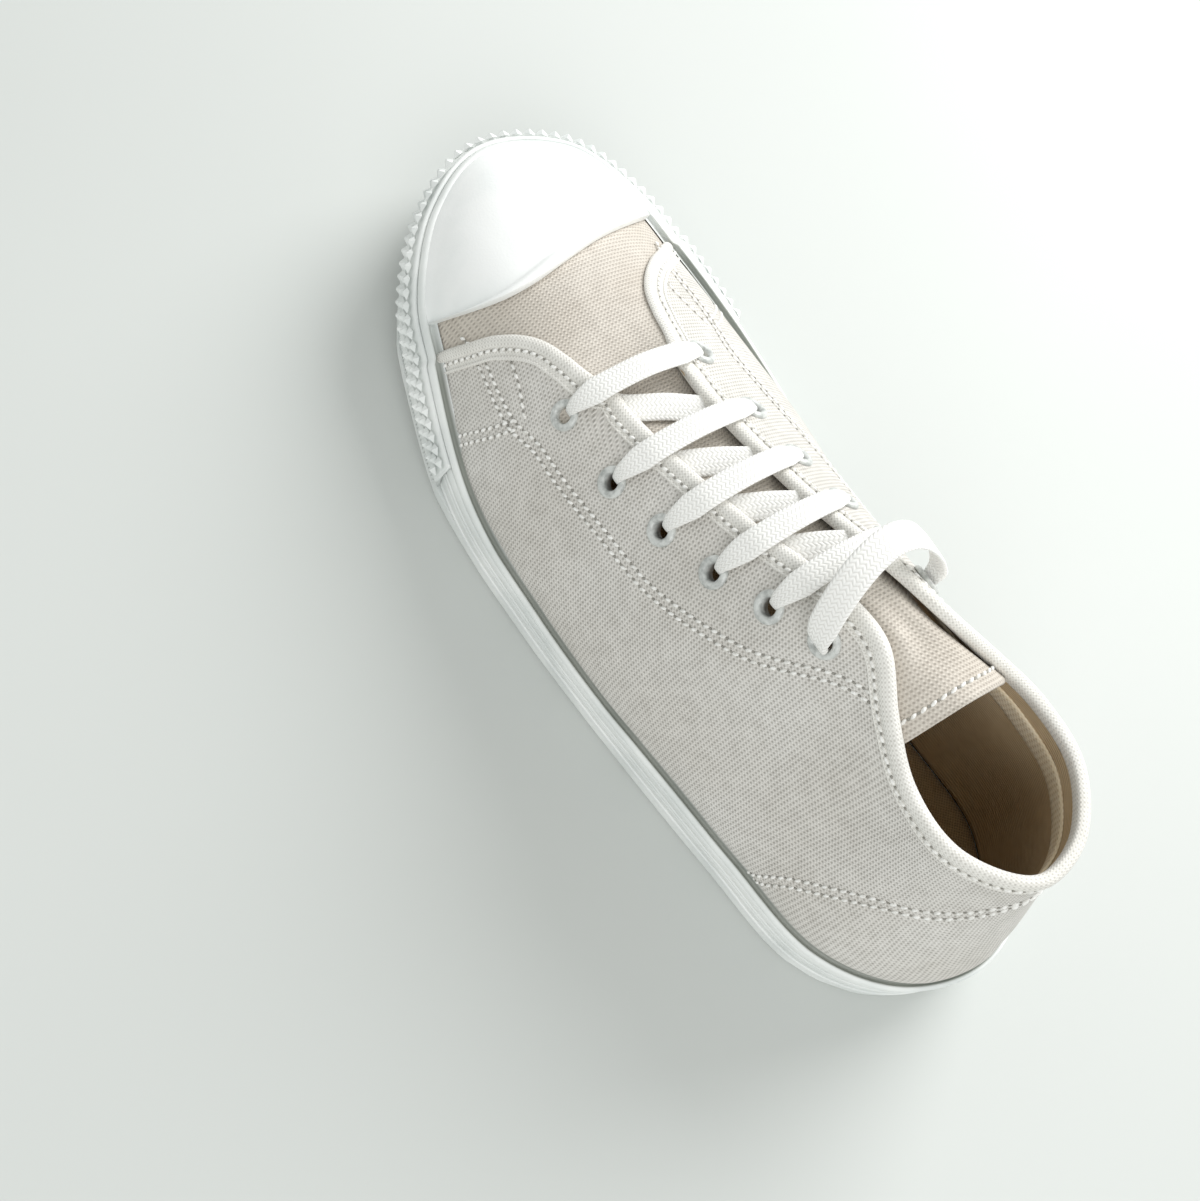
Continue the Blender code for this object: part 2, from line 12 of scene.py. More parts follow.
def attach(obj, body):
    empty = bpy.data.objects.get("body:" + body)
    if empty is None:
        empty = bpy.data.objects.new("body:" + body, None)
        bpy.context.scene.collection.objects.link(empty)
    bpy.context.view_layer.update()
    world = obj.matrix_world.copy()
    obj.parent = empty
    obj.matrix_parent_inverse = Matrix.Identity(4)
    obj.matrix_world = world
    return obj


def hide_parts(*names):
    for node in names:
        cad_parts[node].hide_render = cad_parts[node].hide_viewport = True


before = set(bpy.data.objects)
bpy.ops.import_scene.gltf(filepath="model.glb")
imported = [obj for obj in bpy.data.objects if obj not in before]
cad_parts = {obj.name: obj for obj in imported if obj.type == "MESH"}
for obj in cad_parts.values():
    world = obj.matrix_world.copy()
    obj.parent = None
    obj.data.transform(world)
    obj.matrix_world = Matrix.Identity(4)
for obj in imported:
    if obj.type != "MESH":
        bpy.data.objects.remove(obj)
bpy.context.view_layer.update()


# Camera: high over the outer side, with the shoe slanting across the frame from the toe
# at the top left to the heel at the bottom right.
MM = 0.001
CAMERA_AT = (-84.1, 180.07, 448.0)  # from the middle of the shoe's box
CAMERA_TURN, CAMERA_RISE, CAMERA_ROLL = np.radians((210.32, 68.5, 27.9))
LENS, SENSOR = 49.05, 36.0

level = Vector((np.cos(CAMERA_TURN), np.sin(CAMERA_TURN), 0.0))
back = Vector((np.sin(CAMERA_TURN) * np.cos(CAMERA_RISE),
               -np.cos(CAMERA_TURN) * np.cos(CAMERA_RISE), np.sin(CAMERA_RISE)))
upright = back.cross(level)
right = np.cos(CAMERA_ROLL) * level + np.sin(CAMERA_ROLL) * upright
top = np.cos(CAMERA_ROLL) * upright - np.sin(CAMERA_ROLL) * level
camera = bpy.data.objects.new("camera", bpy.data.cameras.new("camera"))
camera.data.lens = LENS
camera.data.sensor_width = SENSOR
camera.data.clip_start = 0.01
camera.matrix_world = Matrix.Translation(Vector(CAMERA_AT) * MM) @ Matrix(
    (right, top, back)).transposed().to_4x4()
bpy.context.scene.collection.objects.link(camera)
bpy.context.scene.camera = camera


# Top lace: one flat braided cotton lace, 8 mm wide, that stands up in a slack loop between
# the two top eyelets. It comes out of one eyelet and goes down into the other.
CENTRE = (138.71, -2.97)  # x and y of the middle of the shoe's box
LACE_WIDTH, LACE_THICK = 8.0, 1.2
LOOP = ((88.6, 17.0, 93.6), (88.8, 17.7, 95.6),
        (89.0, 18.3, 97.3), (89.2, 19.6, 98.8), (89.9, 20.0, 100.8), (91.2, 18.9, 103.8),
        (92.9, 16.4, 107.3), (94.8, 12.8, 110.8), (96.6, 8.3, 113.9), (98.0, 3.2, 116.0),
        (98.6, -2.0, 116.7), (98.1, -6.8, 115.6), (96.8, -10.7, 113.0), (94.9, -13.7, 109.4),
        (92.9, -15.9, 105.6), (91.0, -17.2, 102.0), (89.6, -17.4, 99.4), (89.1, -16.3, 97.4),
        (88.9, -15.2, 95.4), (88.8, -14.2, 93.4))
LOOP_NARROW = 0.36  # share of the width that is left where the lace folds into an eyelet
LACE_WHITE, LACE_SHADE = "#FAF9F6", "#E9E7E2"
BRAID_PITCH, BRAID_COLUMN = 1.2, 1.0


def to_linear(code):
    """Linear colour of an sRGB hex value."""
    parts = [int(code[i:i + 2], 16) / 255 for i in (1, 3, 5)]
    return tuple(c / 12.92 if c <= 0.04045 else ((c + 0.055) / 1.055) ** 2.4 for c in parts) + (1.0,)


def put(tree, kind, values=(), links=(), **settings):
    """Adds a node with its settings, its inputs' values and the outputs that feed it."""
    added = tree.nodes.new(kind)
    for name, value in settings.items():
        setattr(added, name, value)
    for key, value in dict(values).items():
        added.inputs[key].default_value = value
    for key, source in dict(links).items():
        tree.links.new(source, added.inputs[key])
    return added


def finish_of(name, roughness, **constants):
    """New material with its shader's constants set, as (material, tree, shader)."""
    made = bpy.data.materials.new(name)
    made.use_nodes = True
    shader = made.node_tree.nodes["Principled BSDF"]
    shader.inputs["Roughness"].default_value = roughness
    for key, value in constants.items():
        shader.inputs[key.replace("_", " ")].default_value = value
    return made, made.node_tree, shader


def combine(tree, operation, *parts):
    """Result of one arithmetic step on numbers and node outputs."""
    step = put(tree, "ShaderNodeMath", operation=operation)
    for socket, part in zip(step.inputs, parts):
        if isinstance(part, (int, float)):
            socket.default_value = part
        else:
            tree.links.new(part, socket)
    return step.outputs[0]


def shade_by(tree, height, low, high, low_code, high_code):
    """Colour that goes from one hex value to another as a pattern rises."""
    ramp = put(tree, "ShaderNodeValToRGB", links={"Fac": height})
    ramp.color_ramp.elements[0].position = low
    ramp.color_ramp.elements[0].color = to_linear(low_code)
    ramp.color_ramp.elements[1].position = high
    ramp.color_ramp.elements[1].color = to_linear(high_code)
    return ramp.outputs["Color"]


def relief(tree, shader, height, depth, strength=1.0):
    """Turns a pattern from 0 to 1 into bumps of that depth in millimetres."""
    bump = put(tree, "ShaderNodeBump", {"Strength": strength, "Distance": depth * MM},
               {"Height": height})
    tree.links.new(bump.outputs["Normal"], shader.inputs["Normal"])


def along_and_across(tree):
    """The piece's own cloth coordinates, in millimetres."""
    chart = put(tree, "ShaderNodeUVMap", uv_map="cloth")
    parts = put(tree, "ShaderNodeSeparateXYZ", links={"Vector": chart.outputs["UV"]})
    return parts.outputs["X"], parts.outputs["Y"]


def braided_cotton():
    """Bleached cotton, flat braided: slanting stitches that meet in columns like a herringbone."""
    cotton, tree, shader = finish_of("braided_cotton_lace", 0.85, Sheen_Weight=0.25)
    along, across = along_and_across(tree)
    column = combine(tree, "PINGPONG", across, BRAID_COLUMN)
    slanted = combine(tree, "ADD", along, combine(tree, "MULTIPLY", column, 0.8))
    strand = combine(tree, "ABSOLUTE", combine(tree, "SINE", combine(
        tree, "MULTIPLY", slanted, float(np.pi) / BRAID_PITCH)))
    ridge = combine(tree, "SINE", combine(
        tree, "MULTIPLY", column, float(np.pi) / BRAID_COLUMN))
    height = combine(tree, "MULTIPLY", strand, combine(tree, "ADD", combine(
        tree, "MULTIPLY", ridge, 0.5), 0.5))
    tree.links.new(shade_by(tree, height, 0.05, 0.5, LACE_SHADE, LACE_WHITE),
                   shader.inputs["Base Color"])
    relief(tree, shader, height, 0.14)
    return cotton


def row_frame(points):
    """Points in table millimetres as metres in the row frame."""
    return (np.asarray(points, float) - (CENTRE[0], CENTRE[1], 0.0)) * MM


WELD = 2e-6  # metres: points nearer than this are joined


def closed_piece(name, mesh, material):
    """Object of a mesh whose seams are welded and whose faces look outward."""
    shape = bmesh.new()
    shape.from_mesh(mesh)
    bmesh.ops.remove_doubles(shape, verts=shape.verts, dist=WELD)
    bmesh.ops.recalc_face_normals(shape, faces=shape.faces)
    shape.to_mesh(mesh)
    shape.free()
    mesh.shade_smooth()
    mesh.materials.append(material)
    piece = bpy.data.objects.new(name, mesh)
    bpy.context.scene.collection.objects.link(piece)
    return piece


def grid_mesh(name, points, chart, material, capped=False):
    """Closed mesh from sections of equal length, each a loop of points whose last is its first.

    chart holds each point's cloth coordinates. A ring's last section repeats its first one,
    and an open run of sections is capped instead.
    """
    points, chart = np.asarray(points, float), np.asarray(chart, float)
    n, m = points.shape[:2]
    index = np.arange(n * m).reshape(n, m)
    quads = np.stack([index[:-1, :-1], index[:-1, 1:], index[1:, 1:], index[1:, :-1]], -1)
    faces = quads.reshape(-1, 4).tolist()
    if capped:
        faces += [index[0, :-1].tolist(), index[-1, :-1].tolist()]
    mesh = bpy.data.meshes.new(name)
    mesh.from_pydata(row_frame(points.reshape(-1, 3)).tolist(), [], faces)
    corner = np.empty(len(mesh.loops), np.int32)
    mesh.loops.foreach_get("vertex_index", corner)
    layer = mesh.uv_layers.new(name="cloth")
    layer.data.foreach_set("uv", chart.reshape(-1, 2)[corner].ravel())
    return closed_piece(name, mesh, material)


def unit(vectors):
    return vectors / np.linalg.norm(vectors, axis=-1, keepdims=True)


def open_curve(points, t):
    """Smooth curve through the points, t counting them from 0."""
    points = np.asarray(points, float)
    p = np.vstack([2 * points[0] - points[1], points, 2 * points[-1] - points[-2]])
    i = np.clip(np.floor(t).astype(int), 0, len(points) - 2)
    f = (t - i)[:, None]
    p0, p1, p2, p3 = p[i], p[i + 1], p[i + 2], p[i + 3]
    return 0.5 * (2 * p1 + (p2 - p0) * f + (2 * p0 - 5 * p1 + 4 * p2 - p3) * f**2
                  + (3 * p1 - p0 - 3 * p2 + p3) * f**3)


def run_along(points):
    """Distance of each point from the first, along the line through them."""
    return np.append(0.0, np.linalg.norm(np.diff(points, axis=0), axis=1).cumsum())


def flat_lace(name, line, wide, material, width):
    """Braided tape along a line: wide is its width's direction and width its width at each point."""
    line, wide = np.asarray(line, float), unit(np.asarray(wide, float))
    face = unit(np.cross(np.gradient(line, axis=0), wide))
    turn = np.linspace(0, 2 * np.pi, 17)
    across, lift = np.cos(turn), np.sin(turn)
    half = np.sign(across) * np.abs(across) ** 0.6 / 2
    thick = np.sign(lift) * np.abs(lift) ** 0.7 / 2 * LACE_THICK
    fold = 1.0 + 0.9 * (1.0 - width / LACE_WIDTH)
    points = (line[:, None] + wide[:, None] * (half * width[:, None])[..., None]
              + face[:, None] * (thick * fold[:, None])[..., None])
    girth = np.append(0.0, np.abs(np.diff(half)).cumsum()) * LACE_WIDTH
    chart = np.stack(np.broadcast_arrays(run_along(line)[:, None], girth[None, :]), -1)
    return grid_mesh(name, points, chart, material, capped=True)


LACE_COTTON = braided_cotton()
loop_line = open_curve(LOOP, np.linspace(0, len(LOOP) - 1, 6 * (len(LOOP) - 1) + 1))
loop_run = unit(np.gradient(loop_line, axis=0))
loop_wide = unit(np.array([1.0, 0.0, 0.0]) - loop_run * loop_run[:, :1])
from_end = np.minimum(run_along(loop_line), run_along(loop_line)[::-1])
loop_width = LACE_WIDTH * (LOOP_NARROW + (1 - LOOP_NARROW) * np.clip(from_end / 12.0, 0, 1) ** 0.8)
lace_loop = flat_lace("lace_loop_braid", loop_line, loop_wide, LACE_COTTON, loop_width)
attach(lace_loop, "root")
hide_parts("lace_loop")
run_along(loop_line)[-1] * MM


# Outsole: moulded white rubber, 5 mm thick, with the toe sprung up off the floor and cross
# lugs inside a plain rim. The foxing is bonded round its edge.
COLUMNS = ("name", "foot_x", "lat", "med", "edge_x", "edge_lat", "edge_med", "edge_z",
           "rise", "bulge", "reach", "fall", "aim")
STATIONS = (
    ("heel_back",       3.5,  0.0,  0.0,  15.0,  0.0,  0.0,  91.5, 28, 4,  1, 24, 180),
    ("heel_turn",      10.0, 19.5, 17.0,  19.0,  9.0, 12.0,  91.5, 28, 4,  2, 24, 135),
    ("heel_side",      29.0, 34.0, 29.5,  32.0, 17.0, 23.0,  90.0, 26, 5,  3, 24, 100),
    ("ankle",          62.0, 39.0, 29.5,  50.0, 17.0, 25.0,  89.5, 26, 6,  4, 24,  92),
    ("collar_front",   88.0, 42.0, 28.5,  66.0, 13.5, 17.5,  97.0, 28, 6,  6, 24,  90),
    ("throat_top",    103.0, 43.5, 29.5,  80.0,  9.0,  8.5, 105.5, 30, 6, 12, 18,  85),
    ("eyelet_top",    116.0, 44.7, 32.0,  93.0,  8.0,  6.0, 103.5, 30, 6, 18, 14,  88),
    ("eyestay",       147.0, 46.7, 45.5, 124.0, 10.5,  5.5,  87.0, 26, 5, 20, 13,  85),
    ("eyestay_front", 185.0, 46.3, 50.5, 158.0, 12.5,  6.5,  72.5, 24, 4, 20, 12,  65),
    ("throat_corner", 224.0, 36.0, 50.8, 176.0, 12.0,  7.5,  67.0, 24, 4, 30,  8,  14),
    ("cap_side",      243.0, 28.5, 46.8, 178.5,  8.5,  5.5,  66.0, 30, 5, 42, 12,   8),
    ("toe_side",      263.5, 10.5, 35.9, 179.5,  5.0,  3.0,  65.3, 34, 5, 52, 14,   3),
    ("toe",           273.0, -10.9, 10.9, 180.0,  1.5, -1.5,  65.0, 35, 5, 56, 14,   0),
)
SIDES = len(STATIONS) - 1
TURN = 2 * SIDES  # u runs once round the shoe: heel, outer side, toe, inner side
GAP = 0.3  # between pieces that are sewn or bonded together
SOLE_THICK = 5.0
FLAT = (25.0, 185.0)  # x range that touches the floor
TOE_SPRING, HEEL_SPRING = 10.0, 1.0
LENGTH = 273.0
LEVEL_START = 0.1  # below this v the outward direction turns level
RUBBER_WHITE, RUBBER_DUSTY = "#F3F5F3", "#DFE3E1"


def spring(x):
    """Lift of the sole off the floor at the toe and at the heel."""
    toe = np.clip((x - FLAT[1]) / (LENGTH - FLAT[1]), 0, None) ** 2 * TOE_SPRING
    heel = np.clip((FLAT[0] - x) / FLAT[0], 0, None) ** 2 * HEEL_SPRING
    return toe + heel


def control_rows():
    """Four control points for each station, round the whole shoe, as rows of 12 numbers."""
    stations = [(dict(zip(COLUMNS, row)), 1.0) for row in STATIONS]
    stations += [(dict(zip(COLUMNS, row)), -1.0) for row in STATIONS[-2:0:-1]]
    foot, edge, lead = [], [], []
    for s, side in stations:
        half, edge_half = (s["lat"], s["edge_lat"]) if side > 0 else (s["med"], s["edge_med"])
        floor_gap = SOLE_THICK + GAP + float(spring(np.array(s["foot_x"])))
        foot.append((s["foot_x"], side * half, floor_gap))
        edge.append((s["edge_x"], side * edge_half, s["edge_z"]))
        aim = np.radians(s["aim"])
        lead.append((np.cos(aim) * s["reach"], side * np.sin(aim) * s["reach"], -s["fall"]))
    foot, edge, lead = np.array(foot), np.array(edge), np.array(lead)
    along = np.roll(foot, -1, 0) - np.roll(foot, 1, 0)
    outward = unit(np.stack([-along[:, 1], along[:, 0], 0 * along[:, 0]], 1))
    swell = np.array([s["bulge"] for s, _ in stations])[:, None] * outward
    swell[:, 2] = [s["rise"] for s, _ in stations]
    return np.hstack([foot, foot + swell, edge + lead, edge])


def periodic(table, u):
    """Closed centripetal spline through the table's rows, which lie at whole u."""
    count = len(table)
    u = np.asarray(u, float) % count
    i = np.floor(u).astype(int) % count
    f = (u - np.floor(u))[..., None]
    span = np.linalg.norm(np.roll(table, -1, 0) - table, axis=1) ** 0.5
    p0, p1, p2, p3 = (table[(i + k) % count] for k in (-1, 0, 1, 2))
    d0, d1, d2 = (span[(i + k) % count][..., None] for k in (-1, 0, 1))
    m1 = d1 * ((p1 - p0) / d0 - (p2 - p0) / (d0 + d1) + (p2 - p1) / d1)
    m2 = d1 * ((p2 - p1) / d1 - (p3 - p1) / (d1 + d2) + (p3 - p2) / d2)
    return ((2 * f**3 - 3 * f**2 + 1) * p1 + (f**3 - 2 * f**2 + f) * m1
            + (3 * f**2 - 2 * f**3) * p2 + (f**3 - f**2) * m2)


ROWS = control_rows()


def skin(u, v, out=0.0):
    """Point of the vamp's outer face, v from 0 at the foot line to 1 at the edge, moved out."""
    u, v, out = np.broadcast_arrays(*(np.asarray(a, float) for a in (u, v, out)))

    def place(uu, vv):
        c, w = periodic(ROWS, uu), vv[..., None]
        return ((1 - w) ** 3 * c[..., 0:3] + 3 * (1 - w) ** 2 * w * c[..., 3:6]
                + 3 * (1 - w) * w**2 * c[..., 6:9] + w**3 * c[..., 9:12])

    step = 1e-3
    normal = np.cross(place(u, v + step) - place(u, v - step), place(u + step, v) - place(u - step, v))
    normal[..., 2] *= np.clip(v / LEVEL_START, 0, 1)
    return place(u, v) + unit(normal) * out[..., None]


def solve_v(u, test):
    """First v at which test(point) turns positive, for each u."""
    lo, hi = np.zeros_like(u), np.ones_like(u)
    for _ in range(30):
        mid = (lo + hi) / 2
        above = test(skin(u, mid)) > 0
        lo, hi = np.where(above, lo, mid), np.where(above, mid, hi)
    return hi


def noise(tree, scale, detail):
    """Noise laid over the object's own coordinates."""
    place = put(tree, "ShaderNodeTexCoord").outputs["Object"]
    return put(tree, "ShaderNodeTexNoise", {"Scale": scale, "Detail": detail},
               {"Vector": place}).outputs["Fac"]


def moulded_rubber(name, clean, dusty):
    """Vulcanised white rubber: a soft sheen, a faint grain from the mould and a little dust."""
    rubber, tree, shader = finish_of(name, 0.42, Specular_IOR_Level=0.45)
    cloud = noise(tree, 45.0, 4.0)
    tree.links.new(shade_by(tree, cloud, 0.32, 0.6, dusty, clean), shader.inputs["Base Color"])
    gloss = put(tree, "ShaderNodeMapRange", {"To Min": 0.34, "To Max": 0.52}, {"Value": cloud})
    tree.links.new(gloss.outputs["Result"], shader.inputs["Roughness"])
    relief(tree, shader, noise(tree, 1400.0, 2.0), 0.05)
    return rubber


RUBBER = moulded_rubber("moulded_white_rubber", RUBBER_WHITE, RUBBER_DUSTY)
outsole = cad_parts["outsole"]
for slot in outsole.material_slots:
    slot.material = RUBBER


# Insole: a foam bed covered with beige cotton twill, loose inside the upper on the sole.
INSOLE_TAN, INSOLE_SHADE = "#C9B491", "#A8906B"
INSOLE_ENDS = (3.7, 272.6)
INSOLE_INSET = 1.75  # from the foot line
INSOLE_TOP, INSOLE_DOME, INSOLE_UNDER, INSOLE_RIM = 8.2, 0.9, 5.35, 7.3


def tinted(tree, amount, colour, tint):
    """A colour multiplied by a tint, which is a colour or an output, by an amount from 0 to 1."""
    mix = put(tree, "ShaderNodeMix", links={"Factor": amount}, data_type="RGBA", blend_type="MULTIPLY")
    first, second = [socket for socket in mix.inputs if socket.type == "RGBA"]
    tree.links.new(colour, first)
    if isinstance(tint, tuple):
        second.default_value = tint
    else:
        tree.links.new(tint, second)
    return [socket for socket in mix.outputs if socket.type == "RGBA"][0]


def woven_cotton(name, thread, shade, pitch_along, pitch_across, depth, rib=0.0):
    """Plain weave: threads that cross over and under, and rib makes those along stand out more."""
    cotton, tree, shader = finish_of(name, 0.9, Sheen_Weight=0.15)
    along, across = along_and_across(tree)
    wave_along, wave_across = (
        combine(tree, "SINE", combine(tree, "MULTIPLY", place, 2 * float(np.pi) / pitch))
        for place, pitch in ((along, pitch_along), (across, pitch_across)))
    cross = combine(tree, "MULTIPLY", wave_along, wave_across)
    ridge = combine(tree, "MULTIPLY", wave_along, rib)
    height = combine(tree, "MULTIPLY_ADD", combine(tree, "ADD", cross, ridge), 0.5 / (1 + rib), 0.5)
    uneven = combine(tree, "MULTIPLY_ADD", noise(tree, 260.0, 3.0), 0.5, height)
    cloud = put(tree, "ShaderNodeMapRange", {"From Min": 0.35, "From Max": 0.75, "To Max": 0.5},
                {"Value": noise(tree, 28.0, 3.0)})
    colour = shade_by(tree, uneven, 0.3, 0.95, shade, thread)
    tree.links.new(tinted(tree, cloud.outputs["Result"], colour, to_linear(thread)),
                   shader.inputs["Base Color"])
    relief(tree, shader, uneven, depth)
    return cotton


def outline(x, out):
    """Outer and inner side's points of the foot line at each x, moved out."""
    sides = []
    for side in (1, -1):
        grid = np.linspace(0, SIDES, 1500)
        line = periodic(ROWS, grid if side > 0 else TURN - grid)
        u = np.interp(x, line[:, 0], grid)
        u = u if side > 0 else TURN - u
        foot = periodic(ROWS, u)[:, 0:2]
        along = periodic(ROWS, u + 0.01)[:, 0:2] - periodic(ROWS, u - 0.01)[:, 0:2]
        normal = unit(np.stack([-along[:, 1], along[:, 0]], 1))
        sides.append(foot + normal * np.asarray(out)[..., None])
    return sides


def insole_bed():
    """Bed with a soft rounded edge, between the two sides of the foot line."""
    rows, columns = 22, 90
    x = INSOLE_ENDS[0] + (INSOLE_ENDS[1] - INSOLE_ENDS[0]) * (1 - np.cos(np.linspace(0, np.pi, columns))) / 2
    left, right_side = outline(x, 0 * x - INSOLE_INSET)
    share = np.concatenate([np.linspace(0, 1, rows), np.linspace(1, 0, rows), [0.0]])
    dome = INSOLE_TOP - INSOLE_DOME * (2 * np.linspace(0, 1, rows) - 1) ** 8
    height = np.concatenate([dome, np.full(rows, INSOLE_UNDER), [INSOLE_RIM]])
    points = left[:, None] + (right_side - left)[:, None] * share[None, :, None]
    points = np.dstack([points, spring(x)[:, None] + height[None, :]])
    chart = points[..., :2]
    cloth = woven_cotton("insole_cotton_twill", INSOLE_TAN, INSOLE_SHADE, 1.1, 1.1, 0.15)
    return grid_mesh("insole_bed", points, chart, cloth, capped=True)


insole = insole_bed()
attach(insole, "root")
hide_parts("insole")


# Vamp: one layer of off-white ribbed cotton canvas over the toes. Its ribs run across the
# shoe, and it goes on under the lowest lace as the root of the tongue.
QUARTER_FRONT = 9.0
VAMP_ENDS = (8.2, 15.8)
CLOTH_THICK = 0.7
VAMP_WARM, VAMP_SHADE = "#DAD3C9", "#ADA59B"


def beside(where, a, b):
    """Share of the way from a to b of the nearest point on that line, and the distance to it."""
    span = b - a
    share = np.clip(((where - a) @ span) / (span @ span), 0, 1)
    return share, np.linalg.norm(where - a - share[..., None] * span, axis=-1)


def soft_folds(u, v, folds):
    """How far the cloth stands out at each place for the soft folds that wear has left in it.

    A fold is (u and v of its two ends, half width in mm, height in mm).
    """
    where = skin(u, v)
    rise = np.zeros(where.shape[:-1])
    for u0, v0, u1, v1, half, height in folds:
        share, away = beside(where, skin(u0, v0), skin(u1, v1))
        fade = np.sin(np.pi * np.clip(share, 0.02, 0.98)) ** 0.5
        rise += height * fade * np.exp(-(away / half) ** 2)
    return rise


VAMP_FOLDS = ((10.0, 0.62, 14.0, 0.60, 7.0, -0.35), (10.2, 0.74, 13.8, 0.72, 6.0, 0.3))


def shell(u, v, outer, inner, chart, name, material):
    """Cloth of some thickness over a grid of places, with soft rims."""
    face = skin(u, v, outer)
    under = skin(u, v, inner)
    rim_top = (face[:, -1:] + under[:, -1:]) / 2
    rim_low = (face[:, :1] + under[:, :1]) / 2
    points = np.concatenate([face, rim_top, under[:, ::-1], rim_low, face[:, :1]], 1)
    flat = np.concatenate([chart, chart[:, -1:], chart[:, ::-1], chart[:, :1], chart[:, :1]], 1)
    return grid_mesh(name, points, flat, material, capped=True)


def vamp_cloth():
    u, v = np.meshgrid(np.linspace(*VAMP_ENDS, 230), np.linspace(0.02, 1.0, 90), indexing="ij")
    rise = soft_folds(u, v, VAMP_FOLDS)
    canvas = woven_cotton("ribbed_cotton_canvas", VAMP_WARM, VAMP_SHADE, 1.25, 1.2, 0.26, rib=0.9)
    piece = shell(u, v, rise, rise - CLOTH_THICK, skin(u, v)[..., :2], "vamp_canvas", canvas)
    return piece, canvas


vamp, VAMP_CANVAS = vamp_cloth()
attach(vamp, "root")
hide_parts("upper")


# Quarters: off-white plain weave canvas that laps over the vamp, runs round the heel and
# carries the eyelets. Inside it is a lining of beige ribbed cotton, stuck to it.
QUARTER_STEP = 0.8
FRONT_EDGE = ((9.05, 0.0), (9.14, 0.27), (9.19, 0.45), (9.34, 0.59), (9.50, 0.747), (9.33, 0.833),
              (9.12, 0.887), (8.98, 0.95), (8.9, 1.0))  # u and v up the front edge
QUARTER_CREAM, QUARTER_SHADE = "#E8E5E0", "#AFABA4"
LINING_BEIGE, LINING_SHADE = "#DCC7A2", "#B79C72"
SWELL_OUTER, SWELL_INNER = 3.3, 1.8
SWELL_RISE, SWELL_REACH = 3.0, 26.0  # mm over which it grows, and over which it fades upward
FOX_HEEL, FOX_TOE = 23.5, 31.0  # height of the foxing's top edge above the floor
QUARTER_FOLDS = ((8.2, 0.52, 6.0, 0.40, 8.0, -0.5), (6.3, 0.45, 4.6, 0.55, 9.0, -0.4),
                 (15.8, 0.50, 17.6, 0.40, 9.0, -0.4))

SEAM_GAP = 2.6  # between the two rows of a double seam
SEAM_ROUTES = (  # u and v along the row, and its gap; main, branch, front, heel
    (((9.22, 0.42), (8.94, 0.484), (8.63, 0.513), (8.39, 0.544), (8.16, 0.602), (7.77, 0.619),
      (7.42, 0.62), (6.83, 0.605), (6.19, 0.638), (5.27, 0.74), (4.33, 0.93)), SEAM_GAP),
    (((8.39, 0.544), (8.38, 0.426), (8.41, 0.25)), SEAM_GAP),
    (((9.2, 0.55), (8.97, 0.607), (8.7, 0.615), (8.45, 0.60)), 0.0),
    (((2.79, 0.23), (2.59, 0.402), (2.11, 0.575), (1.51, 0.657), (0.72, 0.773), (0.0, 0.80)), SEAM_GAP))
SEAM_DIP, SEAM_DIP_HALF = 0.35, 1.1

front_fine = open_curve(FRONT_EDGE, np.linspace(0, len(FRONT_EDGE) - 1, 200))


def canvas_out(u, v):
    """How far the quarter's outer face stands off the vamp's: it swells over the foxing's bead."""
    wrapped = u % TURN
    where = skin(wrapped, v)
    over = np.clip(where[..., 2] - spring(where[..., 0]) - (FOX_HEEL - 1.0), 0, None)
    side = np.minimum(wrapped, TURN - wrapped)
    strong = np.where(wrapped < SIDES, SWELL_OUTER, SWELL_INNER)
    fade = np.clip((8.9 - side) / 1.6, 0, 1) * np.clip((side + 1.2) / 2.0, 0.5, 1)
    swell = strong * fade * (1 - np.exp(-over / SWELL_RISE)) * np.exp(-(over / SWELL_REACH) ** 2)
    return QUARTER_STEP + swell + soft_folds(wrapped, v, QUARTER_FOLDS)


def inward(line):
    """Step in u and v for one millimetre in from the border, square to it on the surface."""
    u, v = line[:, 0], line[:, 1]
    step = 1e-3
    by_u = (skin(u + step, v) - skin(u - step, v)) / (2 * step)
    by_v = (skin(u, v + step) - skin(u, v - step)) / (2 * step)
    uu, uv, vv = (by_u**2).sum(1), (by_u * by_v).sum(1), (by_v**2).sum(1)
    move = np.gradient(line, axis=0)
    lower = np.stack([uu * move[:, 0] + uv * move[:, 1], uv * move[:, 0] + vv * move[:, 1]], 1)
    size = np.sqrt((uu * vv - uv**2) * (move * lower).sum(1))
    return np.stack([-lower[:, 1], lower[:, 0]], 1) / size[:, None]


def front_u(v):
    return np.interp(v, front_fine[:, 1], front_fine[:, 0])


def side_chart(u, v):
    """Cloth coordinates in mm: back to front round the heel, and up the side."""
    place = skin(u, v)
    middle = skin(u[:, :1] * 0 + np.linspace(-10, 10, 801)[None, :], 0.5)[0]
    length = run_along(middle)
    length -= length[400]
    arc = np.interp(u, np.linspace(-10, 10, 801), length)
    side = np.sign(u)
    start = {s: np.interp(3.0 * s, np.linspace(-10, 10, 801), length) - s * skin(3.0 * s, 0.5)[0]
             for s in (1, -1)}
    straight = side * place[..., 0] + np.where(side > 0, start[1], start[-1])
    blend = np.clip((np.abs(u) - 2.0) / 2.0, 0, 1)
    blend = blend * blend * (3 - 2 * blend)
    rise = np.linalg.norm(np.diff(place, axis=1)[..., 1:], axis=-1)
    up = np.concatenate([np.zeros_like(rise[:, :1]), rise.cumsum(1)], 1)
    return np.stack([arc * (1 - blend) + straight * blend, up], -1)


